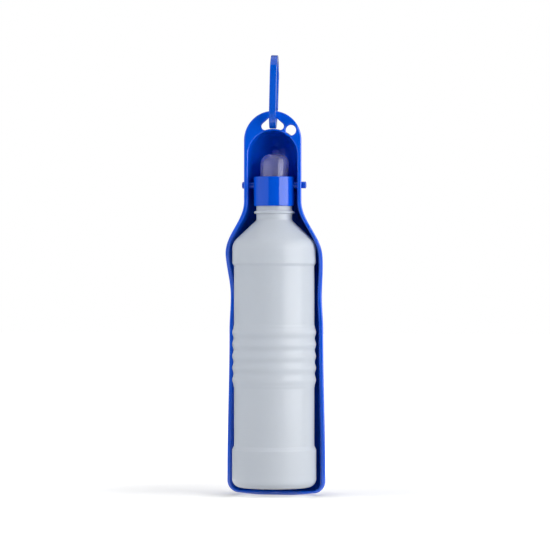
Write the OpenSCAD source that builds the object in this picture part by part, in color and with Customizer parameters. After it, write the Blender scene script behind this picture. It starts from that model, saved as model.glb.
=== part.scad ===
// Folding-tray water bottle for walks with a pet. Millimetres, +Z up.
// The origin is the middle of the foot, the flat on the tray's lower end.

/* [Bottle] */
// Radius of the bottle's plain body
body_r = 29.5; // [27:0.5:31]
// How far the bands at base and shoulder stand out from the body
band_step = 1.4; // [0.8:0.1:2]
// Thickness of the blown wall
bottle_wall = 0.9; // [0.6:0.1:1.4]
// Gap between the foot and the bottle's base
bottle_lift = 6.2; // [6:0.1:8]
// Height of the wide band at the base
base_band_h = 27.6; // [20:0.5:35]
// Height over which the base band narrows to the body
base_step_h = 2.9; // [2:0.1:4]
// Height of the plain body with its ribs
body_h = 132; // [115:1:150]
// Height over which the body widens to the shoulder band
shoulder_step_h = 1.8; // [1:0.1:3]
// Height of the shoulder band
shoulder_band_h = 10.7; // [8:0.1:14]
// Radius of the rounded corner at the base
base_corner_r = 6.2; // [4:0.2:7]
// How much smaller the shoulder band is than the base band
band_taper = 0.2; // [0:0.1:0.6]
// How far the base is pushed up in its middle
push_up = 1.2; // [0.6:0.2:2]
// Radius of the rounded shoulder
shoulder_r = 10.4; // [8:0.2:12]
// Steepness of the shoulder's cone, from level
shoulder_slope = 43; // [38:1:50]
// Number of grip ribs
rib_count = 5; // [3:1:7]
// Distance from rib to rib
rib_pitch = 8.67; // [7:0.1:10]
// How far a rib's crest stands out from the body
rib_crest = 1.3; // [0.6:0.1:1.6]
// How far a rib's valley stands out from the body
rib_valley = 0.35; // [0.1:0.05:0.5]
// Height of the middle rib above the start of the plain body
rib_mid_h = 65.8; // [55:0.2:75]
// Length over which the outer ribs run into the body
rib_run = 1.5; // [1:0.1:3]

/* [Neck and thread] */
// Outer radius of the neck
neck_r = 13.1; // [12.6:0.1:14]
// Thickness of the neck's wall behind the thread
neck_wall = 1.5; // [1.2:0.1:2]
// Chamfer on the neck's mouth
mouth_chamfer = 0.4; // [0.2:0.1:0.5]
// Height of the neck from the shoulder to the mouth
neck_h = 27.2; // [26:0.2:30]
// Height of the carrying ring above the shoulder
ring_h = 4.3; // [3:0.1:5]
// Thickness of the carrying ring
ring_t = 2.7; // [2:0.1:3]
// How far the carrying ring stands out from the neck
ring_out = 1.8; // [1:0.1:2.2]
// Bevel on the carrying ring's edge
ring_bevel = 0.5; // [0.3:0.1:0.7]
// Height of the plain collar that stays inside the cap
collar_h = 2; // [1:0.2:3]
// Lead of the thread
thread_lead = 2.7; // [2.5:0.1:3]
// Turns of the thread
thread_turns = 1.5; // [1:0.25:2]
// Depth of the thread's ridge
thread_depth = 0.9; // [0.6:0.05:1]
// Width of the ridge at its foot
ridge_foot_w = 1.3; // [1:0.05:1.4]
// Width of the ridge at its crest
ridge_crest_w = 0.7; // [0.4:0.05:0.8]
// How deep a ridge's foot lies in the wall that carries it
ridge_root = 0.3; // [0.2:0.05:0.4]
// Distance from the mouth down to the first ridge
thread_drop = 2.6; // [2.2:0.1:4]

/* [Cap] */
// Radial gap between neck and cap
cap_gap = 0.4; // [0.3:0.05:0.6]
// Thickness of the cap's skirt
cap_wall = 1.5; // [1.2:0.1:2]
// Height of the cap
cap_h = 21.6; // [19:0.2:23]
// Thickness of the cap's top
cap_top_t = 1.6; // [1.2:0.1:2]
// Chamfer on the cap's edges
cap_chamfer = 0.4; // [0.2:0.1:0.6]
// Distance from the cap's top down to the pivot axis
pivot_drop = 6.1; // [5.5:0.1:8]
// Radius of the pivot pins
pin_r = 2.5; // [2:0.1:3]
// How far the pins stand out from the tray's wall
pin_out = 3.7; // [2:0.1:6]
// Radius of the bosses behind the pins
boss_r = 4.3; // [3.5:0.1:5]

/* [Nozzle and seal] */
// Radius of the dome where it leaves the cap
nozzle_r = 10.3; // [9:0.1:10.5]
// How far the dome swells above the cap
nozzle_swell = 0.3; // [0.1:0.1:0.5]
// Height of the dome above the cap
nozzle_h = 16.8; // [14:0.2:18]
// Height of the dome's rounded end
nozzle_crown_h = 9.5; // [8:0.1:11]
// Thickness of the nozzle's wall
nozzle_wall = 1.4; // [1:0.1:1.8]
// Thickness of the nozzle's flange
flange_t = 1.5; // [1:0.1:2]
// Thickness of the seal
seal_t = 1.2; // [0.8:0.1:1.6]
// Length of each arm of the cross slit
slit_l = 7; // [4:0.5:9]
// Width of the cross slit
slit_w = 0.3; // [0.2:0.05:0.5]

/* [Tray] */
// Thickness of the tray's wall
tray_wall = 1.6; // [1.3:0.1:1.8]
// How far the rim's lip stands out from the wall
lip_out = 1.4; // [1:0.1:2]
// Depth of the rim's lip and of the tab
lip_t = 2.2; // [1.8:0.1:3]
// Room between the base band and the tray's side
base_room = 3; // [2.4:0.1:5]
// Room between the ribs and the tray's side
rib_room = 1.5; // [1:0.1:3]
// Room between the body and the tray's waist
waist_room = 1.8; // [1.4:0.1:3]
// Room between the shoulder band and the tray's side
shoulder_room = 2.6; // [1.5:0.1:4]
// Room between the cap and the tray's side
cap_room = 3.5; // [2.5:0.1:5]
// How far the rim stands in front of the bottle's axis beside the cap
rim_front = 6.5; // [5.8:0.1:9]
// How far the rim stands behind the bottle's axis along the body
rim_back = 6; // [2:0.1:8]
// How far the trough's own axis lies behind the bottle's at the foot
trough_back = 0.6; // [0.2:0.1:2]
// Gap between the turning nozzle and the trough's floor
floor_gap = 0.9; // [0.6:0.1:2]
// Room above the nozzle in the bowl end
bowl_room = 17; // [14:0.5:20]
// Thickness of the tray's end behind the foot
foot_t = 2.2; // [2:0.1:2.6]
// Half width of the foot
foot_half = 11; // [8:0.5:14]
// Radius of the end's slight bow
bow_r = 245; // [220:5:300]
// Radius of the tray's lower corners
corner_r = 9.2; // [8:0.2:10]
// Distance from the bottle's shoulder step down to the tray's waist
waist_drop = 22.5; // [20:0.5:26]
// Length over which the tray narrows down to its waist
waist_run = 25.5; // [20:0.5:30]
// Distance from the pivot down to the top of the tray's taper
neck_drop = 11; // [10:0.5:14]
// Distance from the bottle's neck down to where the rim is fully forward
rim_drop = 6; // [4:0.5:10]

/* [Tab] */
// Height of the tab above the bowl
tab_h = 14.4; // [13.5:0.2:17]
// Web between the bowl and the slot
slot_web = 1.1; // [0.8:0.1:1.6]
// Width of the slot
slot_w = 16.8; // [15:0.2:18]
// Radius of the slot's lower corners
slot_corner_r = 2.7; // [2.2:0.1:3]
// Radius of the slot's peak
slot_peak_r = 1.5; // [1:0.1:2]
// Web between the slot's peak and the tab's tip
tab_web = 3.3; // [2.6:0.1:4]
// Radius of the round hole
hole_r = 3.8; // [3:0.1:4]
// Distance of the round hole from the tray's middle
hole_x = 14; // [13.8:0.1:14.6]
// Height of the round hole above the bowl's end
hole_h = 0.1; // [-0.2:0.1:1]

/* [Hook] */
// Length of the hook
hook_l = 53.8; // [48:0.2:60]
// Thickness of the hook's body
hook_t = 5; // [4:0.1:5.4]
// Width of the hook's strand
strand_w = 4.6; // [4:0.1:4.8]
// Outer radius of the hook's lower end
hook_low_r = 12; // [11.5:0.1:13]
// Outer radius of the hook's upper end
hook_top_r = 14; // [13:0.1:16]
// Turn of the hook in its slot
hook_yaw = 8.5; // [0:0.5:14]
// Lean of the hook
hook_lean = 1.8; // [0:0.1:3]
// Thickness of the gate
gate_t = 5.6; // [5.2:0.1:6.2]
// Height of the gate's pin above the middle of the lower end
gate_pin_h = 4; // [3:0.2:6]
// Length of the gate from its pin to its nose
gate_l = 26; // [20:0.5:28]
// Radius of the gate's pin
gate_pin_r = 0.9; // [0.7:0.05:1.1]
// Thickness of the tongue inside the gate
tongue_t = 2.2; // [1.6:0.1:2.6]
// Length of the leaf spring
leaf_l = 9; // [7:0.5:11]
// Thickness of the leaf spring
leaf_t = 0.4; // [0.3:0.05:0.6]

/* [Fits] */
// Radial clearance of the pivot pins in the tray
pin_fit = 0.06; // [0.03:0.01:0.1]
// Radial clearance of the gate's pin
gate_fit = 0.05; // [0.03:0.01:0.1]
// Gap between parts that move past each other
run_gap = 0.3; // [0.25:0.05:0.4]
// Gap between parts that are clamped together
seat_gap = 0.1; // [0.05:0.01:0.15]

/* [Hidden] */

tray_blue = [0.02, 0.24, 0.8];
cap_blue = [0.02, 0.3, 0.8];
hook_blue = [0.04, 0.34, 0.8];
milky = [0.86, 0.88, 0.9];
clear_grey = [0.6, 0.6, 0.72];
seal_white = [0.9, 0.9, 0.88];
steel = [0.7, 0.7, 0.72];

round_fn = 96;
fine_fn = 48;
arc_step = 9;
curve_steps = 12;
bow_steps = 4;
rib_steps = 8;
ridge_steps = 24;
crown_power = 0.8;
corner_run = 4;
widest_share = 0.6;
reach = 60;
past = 1;

// Heights of the bottle's features, from the foot up
band_r = body_r + band_step;
shoulder_band_r = band_r - band_taper;
base_band_z = bottle_lift + base_band_h;
body_z = base_band_z + base_step_h;
body_top_z = body_z + body_h;
band_z = body_top_z + shoulder_step_h;
band_top_z = band_z + shoulder_band_h;
shoulder_turn = 90 - shoulder_slope;
shoulder_end_r = band_r - shoulder_r + shoulder_r * cos(shoulder_turn);
shoulder_end_z = band_top_z + shoulder_r * sin(shoulder_turn);
neck_z = shoulder_end_z + (shoulder_end_r - neck_r) * tan(shoulder_slope);
mouth_z = neck_z + neck_h;
root_r = neck_r - thread_depth;
neck_bore_r = root_r - neck_wall;
root_drop = cap_h - cap_top_t - flange_t - seal_t - collar_h;
thread_top_z = mouth_z - thread_drop;
rib_mid_z = body_z + rib_mid_h;
rib_r = body_r + rib_crest;

// Stack under the cap's top, and the pivot
seal_z = mouth_z + seat_gap;
flange_z = seal_z + seal_t + seat_gap;
cap_bore_r = neck_r + cap_gap;
cap_r = cap_bore_r + cap_wall;
cap_top_z = flange_z + flange_t + seat_gap + cap_top_t;
cap_z = cap_top_z - cap_h;
pivot_z = cap_top_z - pivot_drop;
nozzle_top_z = cap_top_z + nozzle_h;

// The tray's half widths at its outer edge, tied to what it holds
rim_w = tray_wall + lip_out;
base_w = band_r + base_room + rim_w;
rib_w = rib_r + rib_room + rim_w;
waist_w = body_r + waist_room + rim_w;
shoulder_w = shoulder_band_r + shoulder_room + rim_w;
neck_w = cap_r + cap_room + rim_w;
bowl_r = neck_w - rim_w;
waist_z = body_top_z - waist_drop;
stations = [
    [corner_r + corner_run, base_w],
    [waist_z - waist_run, rib_w],
    [waist_z, waist_w],
    [band_z + shoulder_band_h * widest_share, shoulder_w],
    [pivot_z - neck_drop, neck_w]
];
rim_high_z = neck_z - rim_drop;

// The trough's axis leans back, so that the floor clears the turning nozzle
nozzle_reach = nozzle_top_z - pivot_z;
trough_back_pivot = nozzle_reach + floor_gap - bowl_r;
trough_lean = atan((trough_back_pivot - trough_back) / pivot_z);
bowl_z = nozzle_top_z + bowl_room - bowl_r;
bowl_z_leant = bowl_z * cos(trough_lean) - (rim_front + trough_back) * sin(trough_lean);
tab_z = bowl_z + bowl_r + tab_h - neck_w;
tab_top_z = tab_z + neck_w;
foot_back = trough_back + base_w - lip_out - corner_r;
foot_mid = (rim_back + foot_back) / 2;

// The hook turns about the middle of its lower end
slot_arc_r = bowl_r + slot_web;
slot_corner_x = slot_w / 2 - slot_corner_r;
slot_corner_z = bowl_z + sqrt(pow(slot_arc_r + slot_corner_r, 2) - pow(slot_corner_x, 2));
slot_peak_z = tab_top_z - tab_web - slot_peak_r;
hook_z = bowl_z + slot_arc_r + run_gap + hook_low_r;
hook_y = lip_t / 2 - rim_front;
hook_span = hook_l - hook_low_r - hook_top_r;
strand_slope = asin((hook_top_r - hook_low_r) / hook_span);
gate_u = (hook_low_r - strand_w / 2) / cos(strand_slope) + gate_pin_h * tan(strand_slope);
eye_r = strand_w / 2;

// Points of an arc about [x, y], from one angle to another
function arc(x, y, r, from, to) =
    let (n = max(1, ceil(abs(to - from) / arc_step)))
    [for (i = [0:n]) [x + r * cos(from + (to - from) * i / n), y + r * sin(from + (to - from) * i / n)]];

// A smooth share from 0 to 1
function ease(t) = (1 - cos(180 * min(1, max(0, t)))) / 2;

function mirrored(points) = concat(points, [for (i = [len(points) - 1:-1:0]) [-points[i][0], points[i][1]]]);

// Half width of the tray along its length, curving from station to station
function side_points(inset) =
    [for (s = [0:len(stations) - 2]) for (i = [0:curve_steps - 1])
        let (a = stations[s], b = stations[s + 1], t = i / curve_steps)
        [a[1] + (b[1] - a[1]) * ease(t) - inset, a[0] + (b[0] - a[0]) * t]];

// Half outline of the trough, for its outside and for its hollow
function trough_outline(inset, end_z, corner) = concat(
    [[0, end_z]],
    arc(base_w - inset - corner, end_z + corner, corner, -90, 0),
    side_points(inset),
    arc(0, bowl_z_leant, neck_w - inset, 0, 90)
);

// Height of the bowed end at a distance from the middle
function bow(x) = (pow(max(x, foot_half), 2) - pow(foot_half, 2)) / (2 * bow_r);

// Half outline of the rim's outer edge, tab and foot
function rim_outline() =
    let (corner_x = base_w - corner_r)
    concat(
        [[0, 0]],
        [for (i = [0:bow_steps]) let (x = foot_half + (corner_x - foot_half) * i / bow_steps) [x, bow(x)]],
        arc(corner_x, bow(corner_x) + corner_r, corner_r, asin(corner_x / bow_r) - 90, 0),
        side_points(0),
        arc(0, tab_z, neck_w, 0, 90)
    );

// Depth of the rim along the tray's length
function rim_y(z) = rim_back - (rim_back + rim_front) * ease((z - waist_z) / (rim_high_z - waist_z));

rim_steps = 2 * curve_steps;
rim_line = concat(
    [[rim_back, -past]],
    [for (i = [0:rim_steps]) let (z = waist_z + (rim_high_z - waist_z) * i / rim_steps) [rim_y(z), z]],
    [[-rim_front, tab_top_z + past]]
);

// Side view of what lies from the rim back to a depth behind it
function behind_rim(depth) = concat(
    rim_line,
    [for (i = [len(rim_line) - 1:-1:0]) [rim_line[i][0] + depth, rim_line[i][1]]]
);

// Everything is drawn about the bottle's axis and then set on the foot
module on_foot() {
    translate([0, -foot_mid, 0])
        children();
}

module along_y(back, front) {
    translate([0, back, 0])
        rotate([90, 0, 0])
            linear_extrude(back - front)
                children();
}

module along_x(length) {
    translate([-length / 2, 0, 0])
        rotate([90, 0, 90])
            linear_extrude(length)
                children();
}

// Half a turned body behind the trough's axis, drawn straight forward in front of it
module trough_body(inset, end_z, corner) {
    outline = trough_outline(inset, end_z, corner);
    translate([0, trough_back, 0])
        rotate([-trough_lean, 0, 0]) {
            rotate_extrude(angle = 180, $fn = round_fn)
                polygon(outline);
            along_y(0, -reach)
                polygon(mirrored(outline));
        }
}

module slot_shape() {
    span_x = slot_corner_x;
    span_z = slot_peak_z - slot_corner_z;
    tilt = atan(span_z / span_x) - asin((slot_corner_r - slot_peak_r) / norm([span_x, span_z]));
    difference() {
        polygon(mirrored(concat(
            arc(0, slot_peak_z, slot_peak_r, 90, 90 - tilt),
            arc(slot_corner_x, slot_corner_z, slot_corner_r, 90 - tilt, -90)
        )));
        translate([0, bowl_z])
            circle(slot_arc_r, $fn = round_fn);
    }
}

module tray() {
    color(tray_blue)
        difference() {
            intersection() {
                along_y(reach, -reach)
                    polygon(mirrored(rim_outline()));
                union() {
                    intersection() {
                        trough_body(lip_out, -past, corner_r);
                        along_x(2 * reach)
                            polygon(behind_rim(2 * reach));
                    }
                    along_x(2 * reach)
                        polygon(behind_rim(lip_t));
                }
            }
            trough_body(rim_w, foot_t, corner_r - tray_wall);
            along_y(trough_back_pivot + bowl_r, -rim_front - past)
                slot_shape();
            along_y(lip_t - rim_front, -rim_front - past)
                translate([hole_x, bowl_z + bowl_r + hole_h])
                    circle(hole_r, $fn = fine_fn);
            translate([0, 0, pivot_z])
                rotate([0, 90, 0])
                    cylinder(h = 2 * reach, r = pin_r + pin_fit, center = true, $fn = fine_fn);
        }
}

// Outline of the ribs, drawn in by the wall for the hollow
function rib_points(inset) =
    [for (k = [0:rib_count - 1]) for (i = [0:rib_steps - 1])
        let (z = rib_mid_z + (k - rib_count / 2) * rib_pitch + i * rib_pitch / rib_steps)
        [body_r + rib_valley + (rib_crest - rib_valley) * ease(1 - abs(1 - 2 * i / rib_steps)) - inset, z]];

// Half outline of the bottle from the base's middle to the neck, drawn in by a wall
function bottle_outline(inset) =
    let (base_r = band_r - base_corner_r - past, ribs_half = rib_count * rib_pitch / 2)
    concat(
        [for (t = [0:0.25:1]) [t * base_r, bottle_lift + inset + push_up * (1 - t * t)]],
        arc(band_r - base_corner_r, bottle_lift + base_corner_r, base_corner_r - inset, -90, 0),
        [[band_r - inset, base_band_z], [body_r - inset, body_z]],
        [[body_r - inset, rib_mid_z - ribs_half - rib_run]],
        rib_points(inset),
        [[body_r + rib_valley - inset, rib_mid_z + ribs_half]],
        [[body_r - inset, rib_mid_z + ribs_half + rib_run]],
        [[body_r - inset, body_top_z], [shoulder_band_r - inset, band_z]],
        arc(band_r - shoulder_r, band_top_z, shoulder_r - inset, 0, shoulder_turn)
    );

// One thread ridge, as a swept band: the foot lies inside the wall that carries it
module ridge(foot_at, crest_at, top_z) {
    rings = ceil(thread_turns * ridge_steps);
    fade = rings / 4;
    points = [for (i = [0:rings])
        let (
            a = 360 * thread_turns * (i / rings - 1),
            z = top_z + thread_lead * a / 360,
            grow = min(1, i / fade, (rings - i) / fade),
            crest = foot_at + (crest_at - foot_at) * max(1 / rings, grow)
        )
        for (p = [
            [foot_at, -ridge_foot_w / 2], [foot_at, ridge_foot_w / 2],
            [crest, ridge_crest_w / 2], [crest, -ridge_crest_w / 2]
        ])
        [p[0] * cos(a), p[0] * sin(a), z + p[1]]];
    inward = crest_at < foot_at;
    sides = [for (i = [0:rings - 1]) for (k = [0:3])
        let (a = 4 * i + k, b = 4 * i + (k + 1) % 4)
        for (f = [[a, b, b + 4], [a, b + 4, a + 4]]) f];
    last = 4 * rings;
    ends = [[0, 3, 2], [0, 2, 1], [last, last + 1, last + 2], [last, last + 2, last + 3]];
    faces = concat(sides, ends);
    polyhedron(points, [for (f = faces) inward ? f : [f[2], f[1], f[0]]]);
}

module bottle() {
    ring_z = neck_z + ring_h;
    ring_r = neck_r + ring_out;
    root_z = mouth_z - root_drop;
    outside = concat(
        bottle_outline(0),
        [[neck_r, neck_z], [neck_r, ring_z], [ring_r - ring_bevel, ring_z + ring_bevel]],
        [[ring_r, ring_z + ring_t / 2], [ring_r - ring_bevel, ring_z + ring_t - ring_bevel]],
        [[neck_r, ring_z + ring_t], [neck_r, root_z], [root_r, root_z + past]],
        [[root_r, mouth_z - mouth_chamfer], [root_r - mouth_chamfer, mouth_z]]
    );
    bore = [[neck_bore_r, neck_z - bottle_wall / 2], [neck_bore_r, mouth_z]];
    inside = concat(bottle_outline(bottle_wall), bore);
    color(milky) {
        rotate_extrude($fn = round_fn)
            polygon(concat(outside, [for (i = [len(inside) - 1:-1:0]) inside[i]]));
        ridge(root_r - ridge_root, neck_r, thread_top_z);
    }
}

module cap() {
    boss_end = bowl_r - run_gap;
    pin_end = neck_w - lip_out + pin_out;
    color(cap_blue) {
        difference() {
            union() {
                rotate_extrude($fn = round_fn)
                    polygon([
                        [0, cap_z], [cap_r - cap_chamfer, cap_z], [cap_r, cap_z + cap_chamfer],
                        [cap_r, cap_top_z - cap_chamfer], [cap_r - cap_chamfer, cap_top_z], [0, cap_top_z]
                    ]);
                translate([0, 0, pivot_z])
                    rotate([0, 90, 0]) {
                        cylinder(h = 2 * boss_end, r = boss_r, center = true, $fn = fine_fn);
                        cylinder(h = 2 * pin_end, r = pin_r, center = true, $fn = fine_fn);
                    }
            }
            translate([0, 0, cap_z - past])
                cylinder(h = cap_h - cap_top_t + past, r = cap_bore_r, $fn = round_fn);
            translate([0, 0, cap_z])
                cylinder(h = cap_h + past, r = nozzle_r + seat_gap, $fn = round_fn);
        }
        ridge(cap_bore_r + ridge_root, cap_bore_r + seat_gap - thread_depth, thread_top_z - thread_lead / 2);
    }
}

// Rounded end of the nozzle, fuller than an ellipse
function crown(r, height, base_z) =
    [for (i = [0:curve_steps]) let (a = 90 * i / curve_steps)
        [r * pow(max(0, cos(a)), crown_power), base_z + height * pow(sin(a), crown_power)]];

module nozzle() {
    swell_z = nozzle_top_z - nozzle_crown_h;
    inner_r = nozzle_r - nozzle_wall;
    flange_r = cap_bore_r - seat_gap;
    outer = concat(
        [[flange_r, flange_z], [flange_r, flange_z + flange_t]],
        [[nozzle_r, flange_z + flange_t], [nozzle_r, cap_top_z]],
        crown(nozzle_r + nozzle_swell, nozzle_crown_h, swell_z)
    );
    inner = concat(
        [[inner_r, flange_z], [inner_r, cap_top_z]],
        crown(inner_r + nozzle_swell, nozzle_crown_h - nozzle_wall, swell_z)
    );
    color(clear_grey)
        difference() {
            rotate_extrude($fn = round_fn)
                polygon(concat(outer, [for (i = [len(inner) - 1:-1:0]) inner[i]]));
            for (turn = [0, 90])
                translate([0, 0, nozzle_top_z])
                    rotate([0, 0, turn + 45])
                        cube([slit_l, slit_w, nozzle_crown_h], center = true);
        }
}

module neck_seal() {
    color(seal_white)
        translate([0, 0, seal_z])
            difference() {
                cylinder(h = seal_t, r = cap_bore_r - run_gap, $fn = round_fn);
                translate([0, 0, -past])
                    cylinder(h = seal_t + 2 * past, r = neck_bore_r, $fn = round_fn);
            }
}

// Stretched ring in the hook's own plane, smaller by an inset
module ring_shape(inset) {
    low = hook_low_r - inset;
    top = hook_top_r - inset;
    polygon(mirrored(concat(
        arc(0, 0, low, -90, -strand_slope),
        arc(0, hook_span, top, -strand_slope, 90)
    )));
}

module strand_shape() {
    difference() {
        ring_shape(0);
        ring_shape(strand_w);
    }
}

// The part of the strand that the gate takes, longer by a gap at each end
module gate_window(gap) {
    translate([gate_u - strand_w, gate_pin_h])
        square([2 * strand_w, gate_l + 2 * gap]);
    translate([gate_u, gate_pin_h])
        circle(eye_r + gap, $fn = fine_fn);
}

// The hook's own plane, set in the tab's slot
module at_hook() {
    translate([0, hook_y, hook_z])
        rotate([0, hook_lean, hook_yaw])
            children();
}

module pin_line(radius, length) {
    translate([0, gate_u, gate_pin_h])
        rotate([0, 90, 0])
            cylinder(h = length, r = radius, center = true, $fn = fine_fn);
}

module hook_body() {
    color(hook_blue)
        at_hook()
            difference() {
                union() {
                    along_x(hook_t)
                        difference() {
                            strand_shape();
                            gate_window(run_gap);
                        }
                    along_x(tongue_t) {
                        translate([gate_u, gate_pin_h])
                            circle(eye_r - run_gap, $fn = fine_fn);
                        translate([gate_u - eye_r + run_gap, gate_pin_h - 2 * eye_r])
                            square([2 * (eye_r - run_gap), 2 * eye_r]);
                    }
                }
                pin_line(gate_pin_r + gate_fit, 2 * hook_t);
            }
}

module hook_gate() {
    color(hook_blue)
        at_hook()
            difference() {
                along_x(gate_t)
                    intersection() {
                        union() {
                            strand_shape();
                            translate([gate_u, gate_pin_h])
                                circle(eye_r, $fn = fine_fn);
                        }
                        gate_window(0);
                    }
                along_x(tongue_t + 2 * run_gap) {
                    translate([gate_u, gate_pin_h])
                        circle(eye_r + past, $fn = fine_fn);
                    translate([gate_u - strand_w, gate_pin_h - strand_w])
                        square([2 * strand_w, strand_w]);
                    translate([gate_u - eye_r / 2, gate_pin_h])
                        square([eye_r, leaf_l + eye_r]);
                }
                pin_line(gate_pin_r, 2 * gate_t);
            }
}

module gate_pin() {
    color(steel)
        at_hook()
            pin_line(gate_pin_r, gate_t - run_gap);
}

module gate_spring() {
    color(steel)
        at_hook()
            translate([-tongue_t / 2 + run_gap, gate_u - leaf_t / 2, gate_pin_h + eye_r])
                cube([tongue_t - 2 * run_gap, leaf_t, leaf_l - seat_gap]);
}

on_foot() tray();
on_foot() bottle();
on_foot() cap();
on_foot() nozzle();
on_foot() neck_seal();
on_foot() hook_body();
on_foot() hook_gate();
on_foot() gate_pin();
on_foot() gate_spring();
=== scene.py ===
"""Looks of the pet travel bottle: bottle, cap, nozzle, drinking tray and snap hook."""

import logging
import math
from dataclasses import dataclass
from enum import Enum
from typing import Callable, Optional

import bmesh
import bpy
from mathutils import Matrix, Vector


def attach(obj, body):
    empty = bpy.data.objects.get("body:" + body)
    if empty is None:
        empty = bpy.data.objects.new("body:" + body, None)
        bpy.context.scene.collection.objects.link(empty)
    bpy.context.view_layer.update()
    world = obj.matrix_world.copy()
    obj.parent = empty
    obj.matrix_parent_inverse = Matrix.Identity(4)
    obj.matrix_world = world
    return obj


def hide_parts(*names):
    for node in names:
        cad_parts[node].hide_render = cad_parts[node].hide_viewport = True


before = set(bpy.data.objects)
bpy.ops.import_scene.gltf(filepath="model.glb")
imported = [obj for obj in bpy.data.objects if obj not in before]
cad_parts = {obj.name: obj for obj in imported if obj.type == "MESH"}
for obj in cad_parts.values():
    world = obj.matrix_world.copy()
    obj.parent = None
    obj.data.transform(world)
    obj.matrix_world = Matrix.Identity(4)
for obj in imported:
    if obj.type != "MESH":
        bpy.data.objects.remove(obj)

MM = 0.001
AXIS_Y = -16.45
MERGE = 2e-6
TROUGH_MERGE = 5e-6
WHITE = (1.0, 1.0, 1.0, 1.0)
WELD = 0.002
LEVEL = 0.999
TINY = 1e-4
CORNER_SHARE = 0.49
LOG = logging.getLogger("travel_bottle")

Pair = tuple[float, float]
Triple = tuple[float, float, float]
Loop = list[Pair]
Thing = bpy.types.Object
Mesh = bpy.types.Mesh
Material = bpy.types.Material
Tree = bpy.types.NodeTree
Node = bpy.types.Node
Socket = bpy.types.NodeSocket


class Slot(Enum):
    """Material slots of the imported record."""

    TRAY = "tray_plastic"
    BOTTLE = "bottle_plastic"
    CAP = "cap_plastic"
    NOZZLE = "clear_silicone"
    SEAL = "seal_silicone"
    HOOK = "hook_plastic"
    STEEL = "steel"


class Body(Enum):
    """Moving bodies of the frame."""

    TRAY = "tray"
    CAP = "cap"
    SEAL = "seal"
    BOTTLE = "bottle"
    HOOK = "hook"
    GATE = "gate"


# ---------------------------------------------------------------- outlines


def ease(share: float) -> float:
    """Smooth share from 0 to 1, level at both ends."""
    return (1 - math.cos(math.pi * min(1.0, max(0.0, share)))) / 2


def arc(centre: Pair, radius: float, start: float, end: float, steps: int) -> Loop:
    """Points of an arc.

    Args:
        centre: the arc's centre.
        radius: its radius.
        start: first angle, in degrees.
        end: last angle, in degrees.
        steps: number of stretches.

    Returns:
        The points, both ends included.
    """
    turns = [math.radians(start + (end - start) * i / steps) for i in range(steps + 1)]
    return [(centre[0] + radius * math.cos(a), centre[1] + radius * math.sin(a)) for a in turns]


def rounded(corners: list[Triple], steps: int = 6) -> Loop:
    """A polyline with its corners rounded.

    Args:
        corners: x, y and corner radius of each point.
        steps: stretches in each rounded corner.

    Returns:
        The points of the rounded line.
    """
    line: Loop = []
    last = len(corners) - 1
    for i, (x, y, radius) in enumerate(corners):
        if radius <= 0 or i in (0, last):
            line.append((x, y))
            continue
        here = Vector((x, y))
        back, ahead = Vector(corners[i - 1][:2]) - here, Vector(corners[i + 1][:2]) - here
        room = min(back.length, ahead.length) * CORNER_SHARE
        half = back.angle(ahead) / 2
        reach = min(room, radius / math.tan(half)) if half < math.pi / 2 - TINY else 0.0
        if reach <= 0:
            line.append((x, y))
            continue
        first, final = here + back.normalized() * reach, here + ahead.normalized() * reach
        weight = math.sin(half)
        for k in range(steps + 1):
            t = k / steps
            a, b, c = (1 - t) ** 2, 2 * t * (1 - t) * weight, t * t
            point = (first * a + here * b + final * c) / (a + b + c)
            line.append((point.x, point.y))
    return line


def spaced(line: Loop, step: float) -> Loop:
    """Puts more points on a line.

    Args:
        line: its points.
        step: the widest distance left between two points.

    Returns:
        The denser line.
    """
    dense: Loop = [line[0]]
    for (x0, y0), (x1, y1) in zip(line, line[1:]):
        count = max(1, math.ceil(math.hypot(x1 - x0, y1 - y0) / step))
        dense += [(x0 + (x1 - x0) * k / count, y0 + (y1 - y0) * k / count) for k in range(1, count + 1)]
    return dense


# ---------------------------------------------------------------- meshes


def plain_mesh(thing: Thing) -> Mesh:
    """Takes an object's evaluated mesh and removes the object.

    Args:
        thing: the object, with its modifiers.

    Returns:
        The mesh.
    """
    graph = bpy.context.evaluated_depsgraph_get()
    graph.update()
    mesh = bpy.data.meshes.new_from_object(thing.evaluated_get(graph))
    bpy.data.objects.remove(thing)
    return mesh


def linked(name: str, data: bpy.types.ID) -> Thing:
    """Makes an object for some data and links it to the scene.

    Args:
        name: the object's name.
        data: its mesh, curve, camera or lamp.

    Returns:
        The object.
    """
    thing = bpy.data.objects.new(name, data)
    bpy.context.scene.collection.objects.link(thing)
    return thing


def cleaned(mesh: Mesh, merge: float = MERGE) -> Mesh:
    """Merges doubled points, drops flat faces and turns the faces outwards.

    Args:
        mesh: the mesh, which is changed.
        merge: the distance within which two points are one.

    Returns:
        The same mesh.
    """
    work = bmesh.new()
    work.from_mesh(mesh)
    bmesh.ops.remove_doubles(work, verts=work.verts, dist=merge)
    bmesh.ops.dissolve_degenerate(work, edges=work.edges, dist=merge / 2)
    bmesh.ops.recalc_face_normals(work, faces=work.faces)
    work.to_mesh(mesh)
    work.free()
    return mesh


def moved(mesh: Mesh, place: Callable[[Vector], Vector]) -> Mesh:
    """Moves each point of a mesh by a rule."""
    for vertex in mesh.vertices:
        vertex.co = place(vertex.co)
    return mesh


def joined(meshes: list[Mesh]) -> Mesh:
    """Makes one mesh out of several.

    Args:
        meshes: the meshes, which stay.

    Returns:
        The new mesh.
    """
    work = bmesh.new()
    for mesh in meshes:
        work.from_mesh(mesh)
    whole = bpy.data.meshes.new("whole")
    work.to_mesh(whole)
    work.free()
    return whole


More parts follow.
